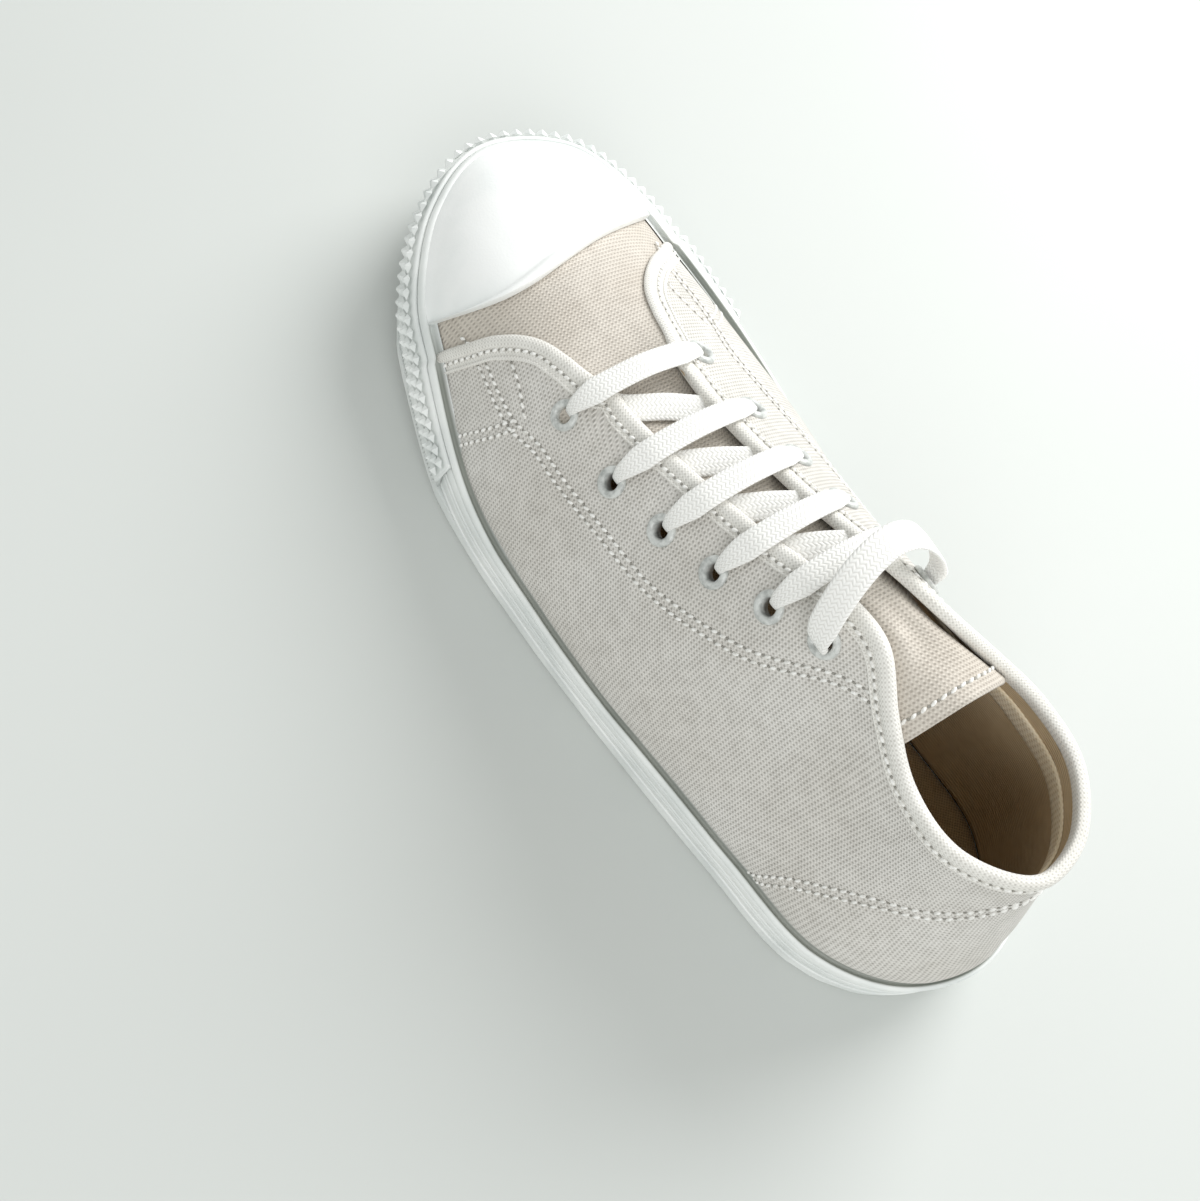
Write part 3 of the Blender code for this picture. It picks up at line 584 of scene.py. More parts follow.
def seam_dip(u, v, route, gap):
    """Depth of the furrow that each row of stitches pulls into the canvas, on both sides."""
    where = skin(u % TURN, v)
    depth = np.zeros(where.shape[:-1])
    fine = open_curve(route, np.linspace(0, len(route) - 1, 6 * (len(route) - 1) + 1))
    into = inward(fine)
    for shift in ((-gap / 2, gap / 2) if gap else (0.0,)):
        moved = fine + into * shift
        for side in (1, -1):
            line = skin((moved[:, 0] * side) % TURN, moved[:, 1])
            near = np.full(where.shape[:-1], 1e9)
            for a, b in zip(line[:-1], line[1:]):
                near = np.minimum(near, beside(where, a, b)[1])
            depth = np.maximum(depth, SEAM_DIP * np.exp(-(near / SEAM_DIP_HALF) ** 2))
    return depth


def quarter_grid(columns, rows, low, high):
    share, v = np.meshgrid(np.linspace(-1, 1, columns), np.linspace(low, high, rows), indexing="ij")
    return share * front_u(v), v


def quarter_cloth():
    u, v = quarter_grid(490, 94, 0.02, 0.998)
    rise = canvas_out(u, v)
    for route, gap in SEAM_ROUTES:
        rise -= seam_dip(u, v, route, gap)
    canvas = woven_cotton("plain_weave_cotton_canvas", QUARTER_CREAM, QUARTER_SHADE, 1.25, 1.2, 0.33,
                          rib=0.7)
    return shell(u, v, rise, np.minimum(rise, QUARTER_STEP + 0.4) - CLOTH_THICK, side_chart(u, v),
                 "quarter_canvas", canvas)


def lining_cloth():
    u, v = quarter_grid(300, 60, 0.02, 0.997)
    ribbed = woven_cotton("ribbed_cotton_lining", LINING_BEIGE, LINING_SHADE, 60.0, 1.3, 0.2, rib=0.0)
    return shell(u, v, -0.75, -1.6, side_chart(u, v), "quarter_lining", ribbed)


EYELETS = ((9.0, 20.0, 15.0), (27.0, 18.6, 14.0), (46.0, 18.4, 13.5),
           (64.5, 17.8, 13.5), (82.0, 16.0, 13.0), (97.0, 12.5, 12.0))
EYELET_BORE = 2.3  # radius of the hole through the cloth


def below_edge(u, distance):
    """v of the point that lies a distance below the top edge."""
    grid = np.linspace(0.0, 1.0, 80)
    result = []
    for uu in np.atleast_1d(u):
        line = skin(np.full(80, uu), grid)
        run = np.linalg.norm(np.diff(line, axis=0), axis=1)[::-1].cumsum()[::-1]
        result.append(np.interp(-distance, -np.append(run, 0.0), grid))
    return np.array(result)


def eyelet_places():
    """(side, number, u, v) of each eyelet, from the toe end."""
    places = []
    for side in (1, -1):
        grid = np.linspace(QUARTER_FRONT, 4.0, 400)
        if side < 0:
            grid = TURN - grid
        run = run_along(skin(grid, np.ones_like(grid)))
        for k, (along, outer, inner) in enumerate(EYELETS):
            u = np.interp(along, run, grid)
            places.append((side, k, u, below_edge(u, outer if side > 0 else inner)[0]))
    return places


def settled(piece):
    """Puts the result of the piece's modifier in place of its mesh."""
    evaluated = piece.evaluated_get(bpy.context.evaluated_depsgraph_get())
    mesh = bpy.data.meshes.new_from_object(evaluated)
    piece.modifiers.clear()
    piece.data = mesh


def pierced(cloth):
    """Cuts the twelve eyelet holes through a cloth."""
    cutters = bmesh.new()
    for _, _, u, v in eyelet_places():
        away = Vector(unit(skin(u, v, 1.0) - skin(u, v)))
        place = away.to_track_quat("Z", "Y").to_matrix().to_4x4()
        place.translation = row_frame(skin(u, v))
        bmesh.ops.create_cone(cutters, cap_ends=True, segments=20, radius1=EYELET_BORE * MM,
                              radius2=EYELET_BORE * MM, depth=8 * MM, matrix=place)
    drills = bpy.data.meshes.new("drills")
    cutters.to_mesh(drills)
    cutters.free()
    tool = bpy.data.objects.new("drills", drills)
    bpy.context.scene.collection.objects.link(tool)
    cutting = cloth.modifiers.new("holes", "BOOLEAN")
    cutting.operation = "DIFFERENCE"
    cutting.solver = "EXACT"
    cutting.object = tool
    settled(cloth)
    bpy.data.objects.remove(tool)


quarter = quarter_cloth()
lining = lining_cloth()
for cloth, finish in ((quarter, "off_white_canvas"), (lining, "off_white_canvas")):
    pierced(cloth)
    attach(cloth, "root")
    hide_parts("upper")


# Edge band: the quarters' front, throat and collar edges are turned and bound with cotton
# tape, which makes a smooth roll, a sewn groove and a second low edge.
BAND_LAP = ((6.3, 0.7), (6.1, 1.25), (5.7, 1.38), (5.35, 1.2), (5.2, 0.95), (4.0, 0.92), (3.3, 0.98),
            (3.0, 1.25), (2.2, 1.65), (1.2, 1.75), (0.3, 1.45), (-0.25, 0.9), (-0.2, 0.4), (0.3, 0.05),
            (2.0, 0.0), (4.0, 0.1))
BAND_WRAP = ((5.6, 0.7), (5.4, 1.15), (5.1, 1.25), (4.8, 1.1), (4.65, 0.92), (3.9, 0.9), (3.1, 0.95),
             (2.8, 1.15), (2.2, 1.4), (1.2, 1.5), (0.2, 1.2), (-0.5, 0.5), (-0.7, -0.5), (-0.3, -1.7),
             (1.4, -2.15), (4.2, -1.9))
BAND_WHITE, BAND_SHADE = "#F1EFEA", "#D0CDC7"


def border():
    """u, v round the quarters' edge from the outer side's foot to the inner side's."""
    up = [(u, v) for u, v in FRONT_EDGE if v > 0.05]
    over = [(u, 1.0) for u in np.linspace(8.6, -8.6, 60)]
    down = [(-u, v) for u, v in up[::-1]]
    line = np.array([(9.07, 0.1)] + up + over + down + [(-9.07, 0.1)])
    fine = open_curve(line, np.linspace(0, len(line) - 1, 20 * (len(line) - 1)))
    fine[:, 1] = np.minimum(fine[:, 1], 1.0)
    run = run_along(skin(fine[:, 0] % TURN, fine[:, 1]))
    even = np.linspace(0, run[-1], int(run[-1] / 1.2))
    return np.stack([np.interp(even, run, fine[:, k]) for k in (0, 1)], 1)


def border_levels(line):
    """The border from 1 mm outside it to 8 mm in, moved over the surface a millimetre at a time."""
    sign = -np.sign(inward(line)[len(line) // 2, 1])
    levels = [line - inward(line) * sign, line]
    for _ in range(8):
        step = inward(levels[-1]) * sign
        step = np.stack([np.convolve(np.pad(step[:, k], 3, mode="edge"), np.ones(7) / 7, "valid")
                         for k in (0, 1)], 1)
        levels.append(levels[-1] + step)
    return np.array(levels)


def moved_in(levels, distance):
    """u and v of each border point moved in by its distances in mm."""
    low = np.clip(np.floor(distance + 1).astype(int), 0, len(levels) - 2)
    share = (distance + 1 - low)[..., None]
    row = np.broadcast_to(np.arange(levels.shape[1])[:, None], low.shape)
    return levels[low, row] * (1 - share) + levels[low + 1, row] * share


def edge_band():
    line = border()
    levels = border_levels(line)
    wrap = np.clip((line[:, 1] - 0.90) / 0.08, 0, 1)[:, None]
    lap, over = np.array(BAND_LAP), np.array(BAND_WRAP)
    section = lap[None] * (1 - wrap[..., None]) + over[None] * wrap[..., None]
    section = np.concatenate([section, section[:, :1]], 1)
    count = section.shape[1]
    turn = np.linspace(0, count - 1, 3 * (count - 1) + 1)
    section = np.stack([open_curve(s, turn) for s in section])
    uv = moved_in(levels, section[..., 0])
    points = skin(uv[..., 0] % TURN, uv[..., 1], section[..., 1])
    run = run_along(skin(line[:, 0] % TURN, line[:, 1]))
    girth = np.append(0, np.linalg.norm(np.diff(section[len(line) // 2], axis=0), axis=1).cumsum())
    chart = np.stack(np.broadcast_arrays(run[:, None], girth[None]), -1)
    tape = woven_cotton("cotton_binding_tape", BAND_WHITE, BAND_SHADE, 1.2, 0.9, 0.15, rib=0.5)
    return grid_mesh("edge_band", points, chart, tape, capped=True), levels


band, BORDER_LEVELS = edge_band()
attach(band, "root")
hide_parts("upper")


# Foxing: a strip of white rubber bonded round the foot of the upper, with a round bead along
# its top, two pinstripes and a low ridge near the floor.
FOX_PROFILE = ((0.00, 2.3), (0.015, 2.75), (0.10, 2.85), (0.125, 2.5), (0.15, 2.3), (0.38, 2.35),
               (0.395, 1.75), (0.425, 1.75), (0.44, 2.35), (0.50, 2.4), (0.515, 1.8), (0.545, 1.8),
               (0.56, 2.35), (0.70, 2.35), (0.72, 1.7), (0.745, 1.6), (0.77, 2.4), (0.81, 2.95),
               (0.86, 3.15), (0.905, 2.9), (0.93, 2.3), (0.925, 1.9), (0.90, 1.5), (0.895, 0.95),
               (0.92, 0.45), (1.00, 0.15))
# Painted shade: grey stops in the profile's three pinstripe grooves and in the gutter behind the bead.
FOX_GROOVE_SHADE = ((5.2, "#FFFFFF"), (6.3, "#B9BBB8"), (7.6, "#FFFFFF"), (9.4, "#FFFFFF"), (10.5, "#B9BBB8"),
             (11.6, "#FFFFFF"), (13.2, "#FFFFFF"), (14.5, "#B4B6B3"), (15.8, "#FFFFFF"),
             (19.6, "#FFFFFF"), (21.0, "#B4B6B1"), (24.0, "#A5A7A1"))  # place in the profile, and the grey of the shade painted there
FOX_SHADE_FADE = (62.0, 80.0)  # along the strip from the toe: nearer, the painted shade is faint, farther it is full


def fox_top(u, drop=0.0):
    """v of the foxing's top edge."""
    def above(p):
        height = FOX_HEEL + (FOX_TOE - FOX_HEEL) * np.clip((p[..., 0] - 165) / 80, 0, 1)
        return p[..., 2] - spring(p[..., 0]) - height + drop
    return solve_v(u, above)


def quarter_share(u):
    """1 where the quarter lies under the foxing, 0 on the vamp."""
    from_toe = np.abs((u % TURN) - SIDES)
    return np.clip((from_toe - (SIDES - 9.05)) / 0.08 + 0.5, 0, 1)


def foxing_rubber():
    """The sole's rubber, with grey shade painted into the gutter behind the bead and into the grooves,
    fainter near the toe.
    """
    rubber = moulded_rubber("grooved_white_foxing_rubber", RUBBER_WHITE, RUBBER_DUSTY)
    tree = rubber.node_tree
    shader = tree.nodes["Principled BSDF"]
    from_toe, rank = along_and_across(tree)
    clean = shader.inputs["Base Color"].links[0].from_socket
    # Painted shade: grey by place in the profile, in the grooves and the gutter behind the bead.
    groove_shade = put(tree, "ShaderNodeValToRGB", links={"Fac": combine(
        tree, "DIVIDE", rank, float(len(FOX_PROFILE) - 1))})
    stops = groove_shade.color_ramp.elements
    stops[0].color = stops[1].color = (1.0, 1.0, 1.0, 1.0)
    for at, code in FOX_GROOVE_SHADE:
        stop = stops.new(at / (len(FOX_PROFILE) - 1))
        stop.color = to_linear(code)
    # The painted shade is faint near the toe and full farther along the strip.
    behind = put(tree, "ShaderNodeMapRange", {"From Min": FOX_SHADE_FADE[0], "From Max": FOX_SHADE_FADE[1],
                                              "To Min": 0.15, "To Max": 1.0},
                 {"Value": combine(tree, "ABSOLUTE", from_toe)})
    tree.links.new(tinted(tree, behind.outputs["Result"], clean, groove_shade.outputs["Color"]),
                   shader.inputs["Base Color"])
    return rubber


def foxing_strip():
    u = np.linspace(0, TURN, 24 * 24 + 1)
    base = quarter_share(u) * QUARTER_STEP + GAP
    height = fox_top(u)
    fine = open_curve(FOX_PROFILE, np.linspace(0, len(FOX_PROFILE) - 1, 3 * len(FOX_PROFILE)))
    outer = np.stack([skin(u, height * share, base + thick) for share, thick in fine], 1)
    inner = np.stack([skin(u, height * share, base) for share in (0.98, 0.75, 0.5, 0.25, 0.0)], 1)
    points = np.concatenate([outer, inner, outer[:, :1]], 1)
    rank = np.append(np.linspace(0, len(FOX_PROFILE) - 1, len(fine)), np.zeros(6))
    run = run_along(outer[:, 30])
    chart = np.stack(np.broadcast_arrays((run - run[len(run) // 2])[:, None], rank[None]), -1)
    return grid_mesh("foxing_strip", points, chart, foxing_rubber())


foxing = foxing_strip()
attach(foxing, "root")
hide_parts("foxing")


# Toe bumper: a second rubber strip round the toe, moulded with three rows of pyramids over
# a band of fine upright ribs, and cut off square on both sides.
BUMPER_ENDS = (195.0, 195.0)  # x on the outer and on the inner side
FOX_THICK = 2.8
BUMPER_PROFILE = ((0.02, 0.9), (0.04, 1.0), (0.21, 1.0), (0.24, 1.45), (0.27, 1.5), (0.30, 1.35),
                  (0.33, 1.0), (0.76, 1.0), (0.79, 0.75), (0.80, 0.3))
PYRAMID_ROWS = (0.43, 0.555, 0.68)  # shares of the foxing's height
PYRAMID_SIZE, PYRAMID_RISE = 3.9, 1.35
RIB_PITCH, RIB_HIGH = 1.25, 4.6


def u_at_x(x, side):
    """u of the foot line where it passes x on the outer (1) or inner (-1) side."""
    grid = np.linspace(0, SIDES, 1500)
    line = periodic(ROWS, grid if side > 0 else TURN - grid)[:, 0]
    u = np.interp(x, line, grid)
    return u if side > 0 else TURN - u


def bumper_base(u):
    return quarter_share(u) * QUARTER_STEP + GAP + FOX_THICK + GAP


def bumper_strip():
    u = np.linspace(u_at_x(BUMPER_ENDS[0], 1), u_at_x(BUMPER_ENDS[1], -1), 260)
    base, height = bumper_base(u), fox_top(u)
    outer = np.stack([skin(u, height * share, base + thick) for share, thick in BUMPER_PROFILE], 1)
    inner = np.stack([skin(u, height * share, base - 0.2) for share in (0.80, 0.5, 0.25, 0.02)], 1)
    points = np.concatenate([outer, inner, outer[:, :1]], 1)
    chart = np.stack(np.broadcast_arrays(run_along(outer[:, 3])[:, None],
                                         np.arange(points.shape[1])[None] * 2.0), -1)
    return grid_mesh("toe_bumper_strip", points, chart, RUBBER, capped=True)


def path_mesh(name, lines, facings):
    """Loose edges along each line, in metres, with the outward direction kept at each point."""
    points, edges, outward = [], [], []
    for line, facing in zip(lines, facings):
        start = len(points)
        points += row_frame(line).tolist()
        outward += unit(facing).tolist()
        edges += [(start + k, start + k + 1) for k in range(len(line) - 1)]
    mesh = bpy.data.meshes.new(name)
    mesh.from_pydata(points, edges, [])
    facing = mesh.attributes.new("facing", "FLOAT_VECTOR", "POINT")
    facing.data.foreach_set("vector", np.array(outward).ravel())
    carrier = bpy.data.objects.new(name, mesh)
    bpy.context.scene.collection.objects.link(carrier)
    return carrier


def repeat_tree(name, shape):
    """Node tree that sets one shape again and again along a path, standing on its surface.

    shape(tree, inputs) adds the nodes that make the shape and gives their mesh output.
    """
    tree = bpy.data.node_groups.new(name, "GeometryNodeTree")
    tree.interface.new_socket("Path", in_out="INPUT", socket_type="NodeSocketGeometry")
    for label in ("Spacing", "Length", "Width", "Height"):
        tree.interface.new_socket(label, in_out="INPUT", socket_type="NodeSocketFloat")
    tree.interface.new_socket("Material", in_out="INPUT", socket_type="NodeSocketMaterial")
    tree.interface.new_socket("Mesh", in_out="OUTPUT", socket_type="NodeSocketGeometry")
    given = put(tree, "NodeGroupInput").outputs
    curve = put(tree, "GeometryNodeMeshToCurve", links={"Mesh": given["Path"]})
    even = put(tree, "GeometryNodeResampleCurve",
               links={"Curve": curve.outputs["Curve"], "Length": given["Spacing"]}, mode="LENGTH")
    facing = put(tree, "GeometryNodeInputNamedAttribute", {"Name": "facing"}, data_type="FLOAT_VECTOR")
    ahead = put(tree, "FunctionNodeAlignRotationToVector",
                links={"Vector": put(tree, "GeometryNodeInputTangent").outputs["Tangent"]}, axis="X")
    upright_turn = put(tree, "FunctionNodeAlignRotationToVector",
                       links={"Rotation": ahead.outputs["Rotation"],
                              "Vector": facing.outputs["Attribute"]}, axis="Z", pivot_axis="X")
    set_down = put(tree, "GeometryNodeInstanceOnPoints",
                   links={"Points": even.outputs["Curve"], "Instance": shape(tree, given),
                          "Rotation": upright_turn.outputs["Rotation"]})
    real = put(tree, "GeometryNodeRealizeInstances", links={"Geometry": set_down.outputs["Instances"]})
    dressed = put(tree, "GeometryNodeSetMaterial",
                  links={"Geometry": real.outputs["Geometry"], "Material": given["Material"]})
    result = put(tree, "NodeGroupOutput", links={"Mesh": dressed.outputs["Geometry"]})
    result.is_active_output = True
    return tree


def sized(tree, given, geometry, turn=(0.0, 0.0, 0.0)):
    """The shape turned and scaled to the given length, width and height."""
    size = put(tree, "ShaderNodeCombineXYZ", links={"X": given["Length"], "Y": given["Width"],
                                                     "Z": given["Height"]})
    return put(tree, "GeometryNodeTransform", {"Rotation": turn},
               {"Geometry": geometry, "Scale": size.outputs["Vector"]}).outputs["Geometry"]


def pyramid(tree, given):
    """Square pyramid that stands on its corner, with a blunt tip."""
    cone = put(tree, "GeometryNodeMeshCone", {"Vertices": 4, "Radius Top": 0.18, "Radius Bottom": 1.0,
                                              "Depth": 1.0})
    return sized(tree, given, cone.outputs["Mesh"])


def bar(tree, given):
    """Bar with a half-round top, lying along the surface."""
    rod = put(tree, "GeometryNodeMeshCylinder", {"Vertices": 8, "Radius": 0.5, "Depth": 1.0})
    laid = put(tree, "GeometryNodeTransform", {"Rotation": (np.pi / 2, 0.0, 0.0)},
               {"Geometry": rod.outputs["Mesh"]})
    return sized(tree, given, laid.outputs["Geometry"])


def repeated(name, tree, lines, facings, sizes, material):
    """Plain mesh of a shape repeated along lines. sizes are spacing, length, width and height in mm."""
    carrier = path_mesh(name, lines, facings)
    setter = carrier.modifiers.new(name, "NODES")
    setter.node_group = tree
    wanted = dict(zip(("Spacing", "Length", "Width", "Height"), (size * MM for size in sizes)))
    wanted["Material"] = material
    for item in tree.interface.items_tree:
        if item.in_out == "INPUT" and item.name in wanted:
            setter[item.identifier] = wanted[item.name]
    settled(carrier)
    carrier.data.name = name
    carrier.data.shade_smooth()
    return carrier


def ring_line(share, out, first, last, shift=0.0):
    """Line round the toe at a share of the foxing's height, and its outward direction."""
    u = np.linspace(first, last, 300)
    v = fox_top(u) * share
    line = skin(u, v, bumper_base(u) + out)
    if shift:
        run = run_along(line)
        keep = (run >= shift) & (run <= run[-1])
        line, u, v = line[keep], u[keep], v[keep]
    return line, skin(u, v, 1.0) - skin(u, v)


PYRAMIDS = repeat_tree("pyramid_rows", pyramid)
BARS = repeat_tree("bar_rows", bar)


def bumper_relief():
    """The pyramids and the ribs, each row half a step on from the next."""
    first, last = u_at_x(BUMPER_ENDS[0] + 2.5, 1), u_at_x(BUMPER_ENDS[1] + 2.5, -1)
    rows = [ring_line(share, 0.9 + PYRAMID_RISE / 2, first, last, shift)
            for share, shift in zip(PYRAMID_ROWS, (0.0, PYRAMID_SIZE / 2, 0.0))]
    pyramids = repeated("bumper_pyramids", PYRAMIDS, [r[0] for r in rows], [r[1] for r in rows],
                        (PYRAMID_SIZE, PYRAMID_SIZE / 2, PYRAMID_SIZE / 2, PYRAMID_RISE), RUBBER)
    pyramids.data.shade_flat()
    low, facing = ring_line(0.125, 1.0, first, last)
    ribs = repeated("bumper_ribs", BARS, [low], [facing], (RIB_PITCH, 0.7, RIB_HIGH, 0.7), RUBBER)
    return pyramids, ribs


bumper = bumper_strip()
bumper_pyramids, bumper_ribs = bumper_relief()
for rubber_piece in (bumper, bumper_pyramids, bumper_ribs):
    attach(rubber_piece, "root")
    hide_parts("toe_bumper")


# Toe cap: a smooth moulded rubber shell over the front of the vamp, with a raised lip along
# its rear edge. Its foot goes down behind the foxing's bead.
CAP_EDGE = ((231.6, 31.0), (221.0, 20.0), (218.7, 5.0), (223.7, -20.0),
            (236.0, -49.0))  # x and y of points on its rear edge
CAP_GAP, CAP_SINK = 0.3, 2.4  # off the vamp, and how far its foot goes down behind the bead
CAP_PROFILE = ((0.0, 1.2), (0.02, 2.2), (0.08, 2.0), (0.16, 1.7), (0.3, 1.6), (0.6, 1.6), (0.85, 1.6),
               (0.91, 1.62),
               (0.94, 1.8), (0.96, 2.45), (0.98, 2.75), (1.0, 2.5), (1.004, 1.7), (1.0, 0.2))
CAP_WHITE, CAP_DUSTY = "#FBFCFB", "#F0F3F2"


def cap_edge_x(y):
    """x of the cap's rear edge at each y, on a smooth curve through its points."""
    along, across = np.array(CAP_EDGE).T
    return np.polyval(np.polyfit(across, along, len(CAP_EDGE) - 1), y)


def cap_shell():
    grid = np.linspace(QUARTER_FRONT, TURN - QUARTER_FRONT, 600)
    edge = solve_v(grid, lambda p: cap_edge_x(p[..., 1]) - p[..., 0])
    covered = grid[edge - fox_top(grid, CAP_SINK) > 0.004]
    u = np.linspace(covered[0], covered[-1], 260)
    low = fox_top(u, CAP_SINK)
    high = np.maximum(solve_v(u, lambda p: cap_edge_x(p[..., 1]) - p[..., 0]), low + 0.004)
    fine = open_curve(CAP_PROFILE, np.linspace(0, len(CAP_PROFILE) - 1, 5 * len(CAP_PROFILE)))
    outer = np.stack([skin(u, low + (high - low) * share, CAP_GAP + out) for share, out in fine], 1)
    inner = np.stack([skin(u, low + (high - low) * share, CAP_GAP)
                      for share in (0.98, 0.75, 0.5, 0.25, 0.0)], 1)
    points = np.concatenate([outer, inner, outer[:, :1]], 1)
    chart = points[..., :2]
    return grid_mesh("toe_cap_shell", points, chart,
                     moulded_rubber("smooth_white_cap_rubber", CAP_WHITE, CAP_DUSTY), capped=True)


cap = cap_shell()
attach(cap, "root")
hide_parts("toe_cap")


# Tongue: a strip of the vamp's canvas, arched between the quarters' edges up to the collar,
# with a sewn hem along its top edge.
TONGUE = ((9.0, 3.7, 0.0, 11.0), (8.5, 3.8, 0.2, 13.0), (8.0, 3.8, 0.8, 14.0),
          (7.5, 3.8, 1.2, 15.0), (7.0, 3.8, 1.4, 16.0), (6.5, 3.8, 1.2, 16.0),
          (6.0, 3.8, 0.8, 16.0), (5.5, 3.8, 0.4, 16.0), (5.0, 3.8, 0.6, 16.0),
          (4.5, 3.6, 2.4, 15.0), (4.0, 3.4, 5.6, 13.0), (3.6, 3.2, 8.6, 11.0))
TONGUE_TOE = (((9.4, 0.80), (10.0, 0.86), (12.0, 0.87), (14.0, 0.86), (14.6, 0.80)),
              ((9.4, 0.92), (10.0, 0.95), (12.0, 0.96), (14.0, 0.95), (14.6, 0.92)))
TONGUE_THICK = 1.6
HEM = 5.0  # width of the hem
TONGUE_MIDDLE = 30  # column of the tongue's grid that runs along its middle


def tongue_rows():
    """Rows of five points each, from under the vamp to the top edge."""
    rows = []
    for depth, row in zip((2.0, 1.7), TONGUE_TOE):
        rows.append(np.array([skin(u, v, -depth) for u, v in row]))
    for u, depth, crown, wing in TONGUE:
        pair = []
        for side in (u, TURN - u):
            v = below_edge(side, wing)[0]
            pair.append((skin(side, v, -depth), skin(side, 0.995, -depth)))
        middle = (pair[0][1] + pair[1][1]) / 2 + np.array([0.0, 0.0, crown])
        rows.append(np.array([pair[0][0], pair[0][1], middle, pair[1][1], pair[1][0]]))
    return rows


def tongue_cloth():
    rows = np.array([open_curve(row, np.linspace(0, 4, 2 * TONGUE_MIDDLE + 1)) for row in tongue_rows()])
    steps = np.linspace(0, len(rows) - 1, 10 * (len(rows) - 1) + 1)
    face = np.stack([open_curve(rows[:, j], steps) for j in range(rows.shape[1])], 1)
    normal = np.cross(np.gradient(face, axis=0), np.gradient(face, axis=1))
    normal = unit(normal)
    normal *= np.sign(normal[:, TONGUE_MIDDLE, 2])[:, None, None]
    run = run_along(face[:, TONGUE_MIDDLE])
    across = np.array([run_along(line) for line in face])
    across -= across[:, TONGUE_MIDDLE:TONGUE_MIDDLE + 1]
    hem = np.clip((run - (run[-1] - HEM)) / 0.7, 0, 1)
    tip = np.clip((run[-1] - run) / 0.8, 0, 1) ** 0.5
    out = (0.35 * hem)[:, None, None]
    outer = face + normal * out - normal * (TONGUE_THICK / 2 * (1 - tip))[:, None, None]
    inner = face - normal * (TONGUE_THICK + 0.3 * hem - TONGUE_THICK / 2 * (1 - tip))[:, None, None]
    points = np.concatenate([outer, inner[:, ::-1], outer[:, :1]], 1)
    flat = np.stack(np.broadcast_arrays(run[:, None], across), -1)
    chart = np.concatenate([flat, flat[:, ::-1], flat[:, :1]], 1)
    return grid_mesh("tongue_canvas", points, chart, VAMP_CANVAS, capped=True), face, normal


tongue, TONGUE_FACE, TONGUE_UP = tongue_cloth()
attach(tongue, "root")
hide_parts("tongue")


# Inner tape: a 10 mm herringbone cotton tape sewn round the inside of the collar.
TAPE_TOP, TAPE_WIDE = 12.0, 10.0
TAPE_PROFILE = ((0.0, -1.9), (0.03, -2.3), (0.2, -2.45), (0.5, -2.5), (0.8, -2.45), (0.97, -2.3),
                (1.0, -1.9))  # share of its width, distance off the vamp's face
TAPE_BEIGE, TAPE_SHADE = "#F3E8D2", "#D2BF9C"


def inner_tape():
    u = np.linspace(5.4, -5.4, 260)
    drops = np.array([share for share, _ in TAPE_PROFILE]) * TAPE_WIDE + TAPE_TOP
    lift = [out for _, out in TAPE_PROFILE]
    rows = [below_edge(u % TURN, drop) for drop in drops]
    outer = np.stack([skin(u % TURN, v, out) for v, out in zip(rows, lift)], 1)
    under = np.stack([skin(u % TURN, v, -1.7) for v in rows[::-1]], 1)
    points = np.concatenate([outer, under, outer[:, :1]], 1)
    girth = np.concatenate([drops, drops[::-1], drops[:1]])
    chart = np.stack(np.broadcast_arrays(run_along(outer[:, 3])[:, None], girth[None]), -1)
    tape = woven_cotton("herringbone_cotton_tape", TAPE_BEIGE, TAPE_SHADE, 1.6, 1.6, 0.2, rib=0.6)
    return grid_mesh("inner_tape", points, chart, tape, capped=True)


tape = inner_tape()
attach(tape, "root")
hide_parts("upper")


# Eyelets: twelve pressed metal rings, enamelled white, each set through the quarter.
EYELET_PROFILE = ((2.25, -2.6), (2.25, 0.3), (2.4, 0.8), (2.8, 1.2), (3.3, 1.3), (3.9, 1.1),
                  (4.3, 0.7), (4.4, 0.2), (4.2, -0.1), (2.9, -0.1), (2.75, -2.6))
ENAMEL, ENAMEL_WORN = "#D6D8D5", "#A5A8A5"


def enamelled_brass():
    """Enamel on brass: hard and glossy, greyer where the laces have rubbed the rim."""
    enamel, tree, shader = finish_of("enamelled_brass", 0.3, Coat_Weight=0.4)
    wear = noise(tree, 600.0, 3.0)
    tree.links.new(shade_by(tree, wear, 0.3, 0.6, ENAMEL_WORN, ENAMEL), shader.inputs["Base Color"])
    relief(tree, shader, wear, 0.03)
    return enamel


def turned_rings(name, profile, material, segments=28):
    """One mesh of all the rings, each a closed profile turned about the way out of the canvas."""
    points, faces = [], []
    angle = np.linspace(0, 2 * np.pi, segments, endpoint=False)
    count = len(profile)
    for _, _, u, v in eyelet_places():
        origin = skin(u, v, QUARTER_STEP)
        away = unit(skin(u, v, QUARTER_STEP + 1.0) - origin)
        side = unit(np.cross(away, (1.0, 0.0, 0.0)))
        other = np.cross(away, side)
        start = len(points)
        for a in angle:
            spoke = np.cos(a) * side + np.sin(a) * other
            points += [origin + spoke * r + away * h for r, h in profile]
        for k in range(segments):
            n = (k + 1) % segments
            faces += [(start + k * count + j, start + k * count + (j + 1) % count,
                       start + n * count + (j + 1) % count, start + n * count + j)
                      for j in range(count)]
    mesh = bpy.data.meshes.new(name)
    mesh.from_pydata(row_frame(points).tolist(), [], faces)
    return closed_piece(name, mesh, material)


eyelets = turned_rings("eyelet_rings", EYELET_PROFILE, enamelled_brass())
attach(eyelets, "root")
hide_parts(*[f"eyelet_{side}_{k}" for side in ("outer", "inner") for k in range(1, 7)])


# Crossed laces: the same braided lace comes up out of each eyelet, climbs over the edge and
# lies flat across the throat. Under the bars it runs on to the next eyelet.
LACE_CLIMB = ((0.07, -1.6), (0.10, 1.0), (0.25, 3.1), (0.6, 3.4),
              (1.0, 3.0))  # share of the way from eyelet to edge, distance off the vamp's face
LACE_UNDER = ((0.93, -2.3), (1.0, -2.2))  # v and distance off it, where a lower run comes in


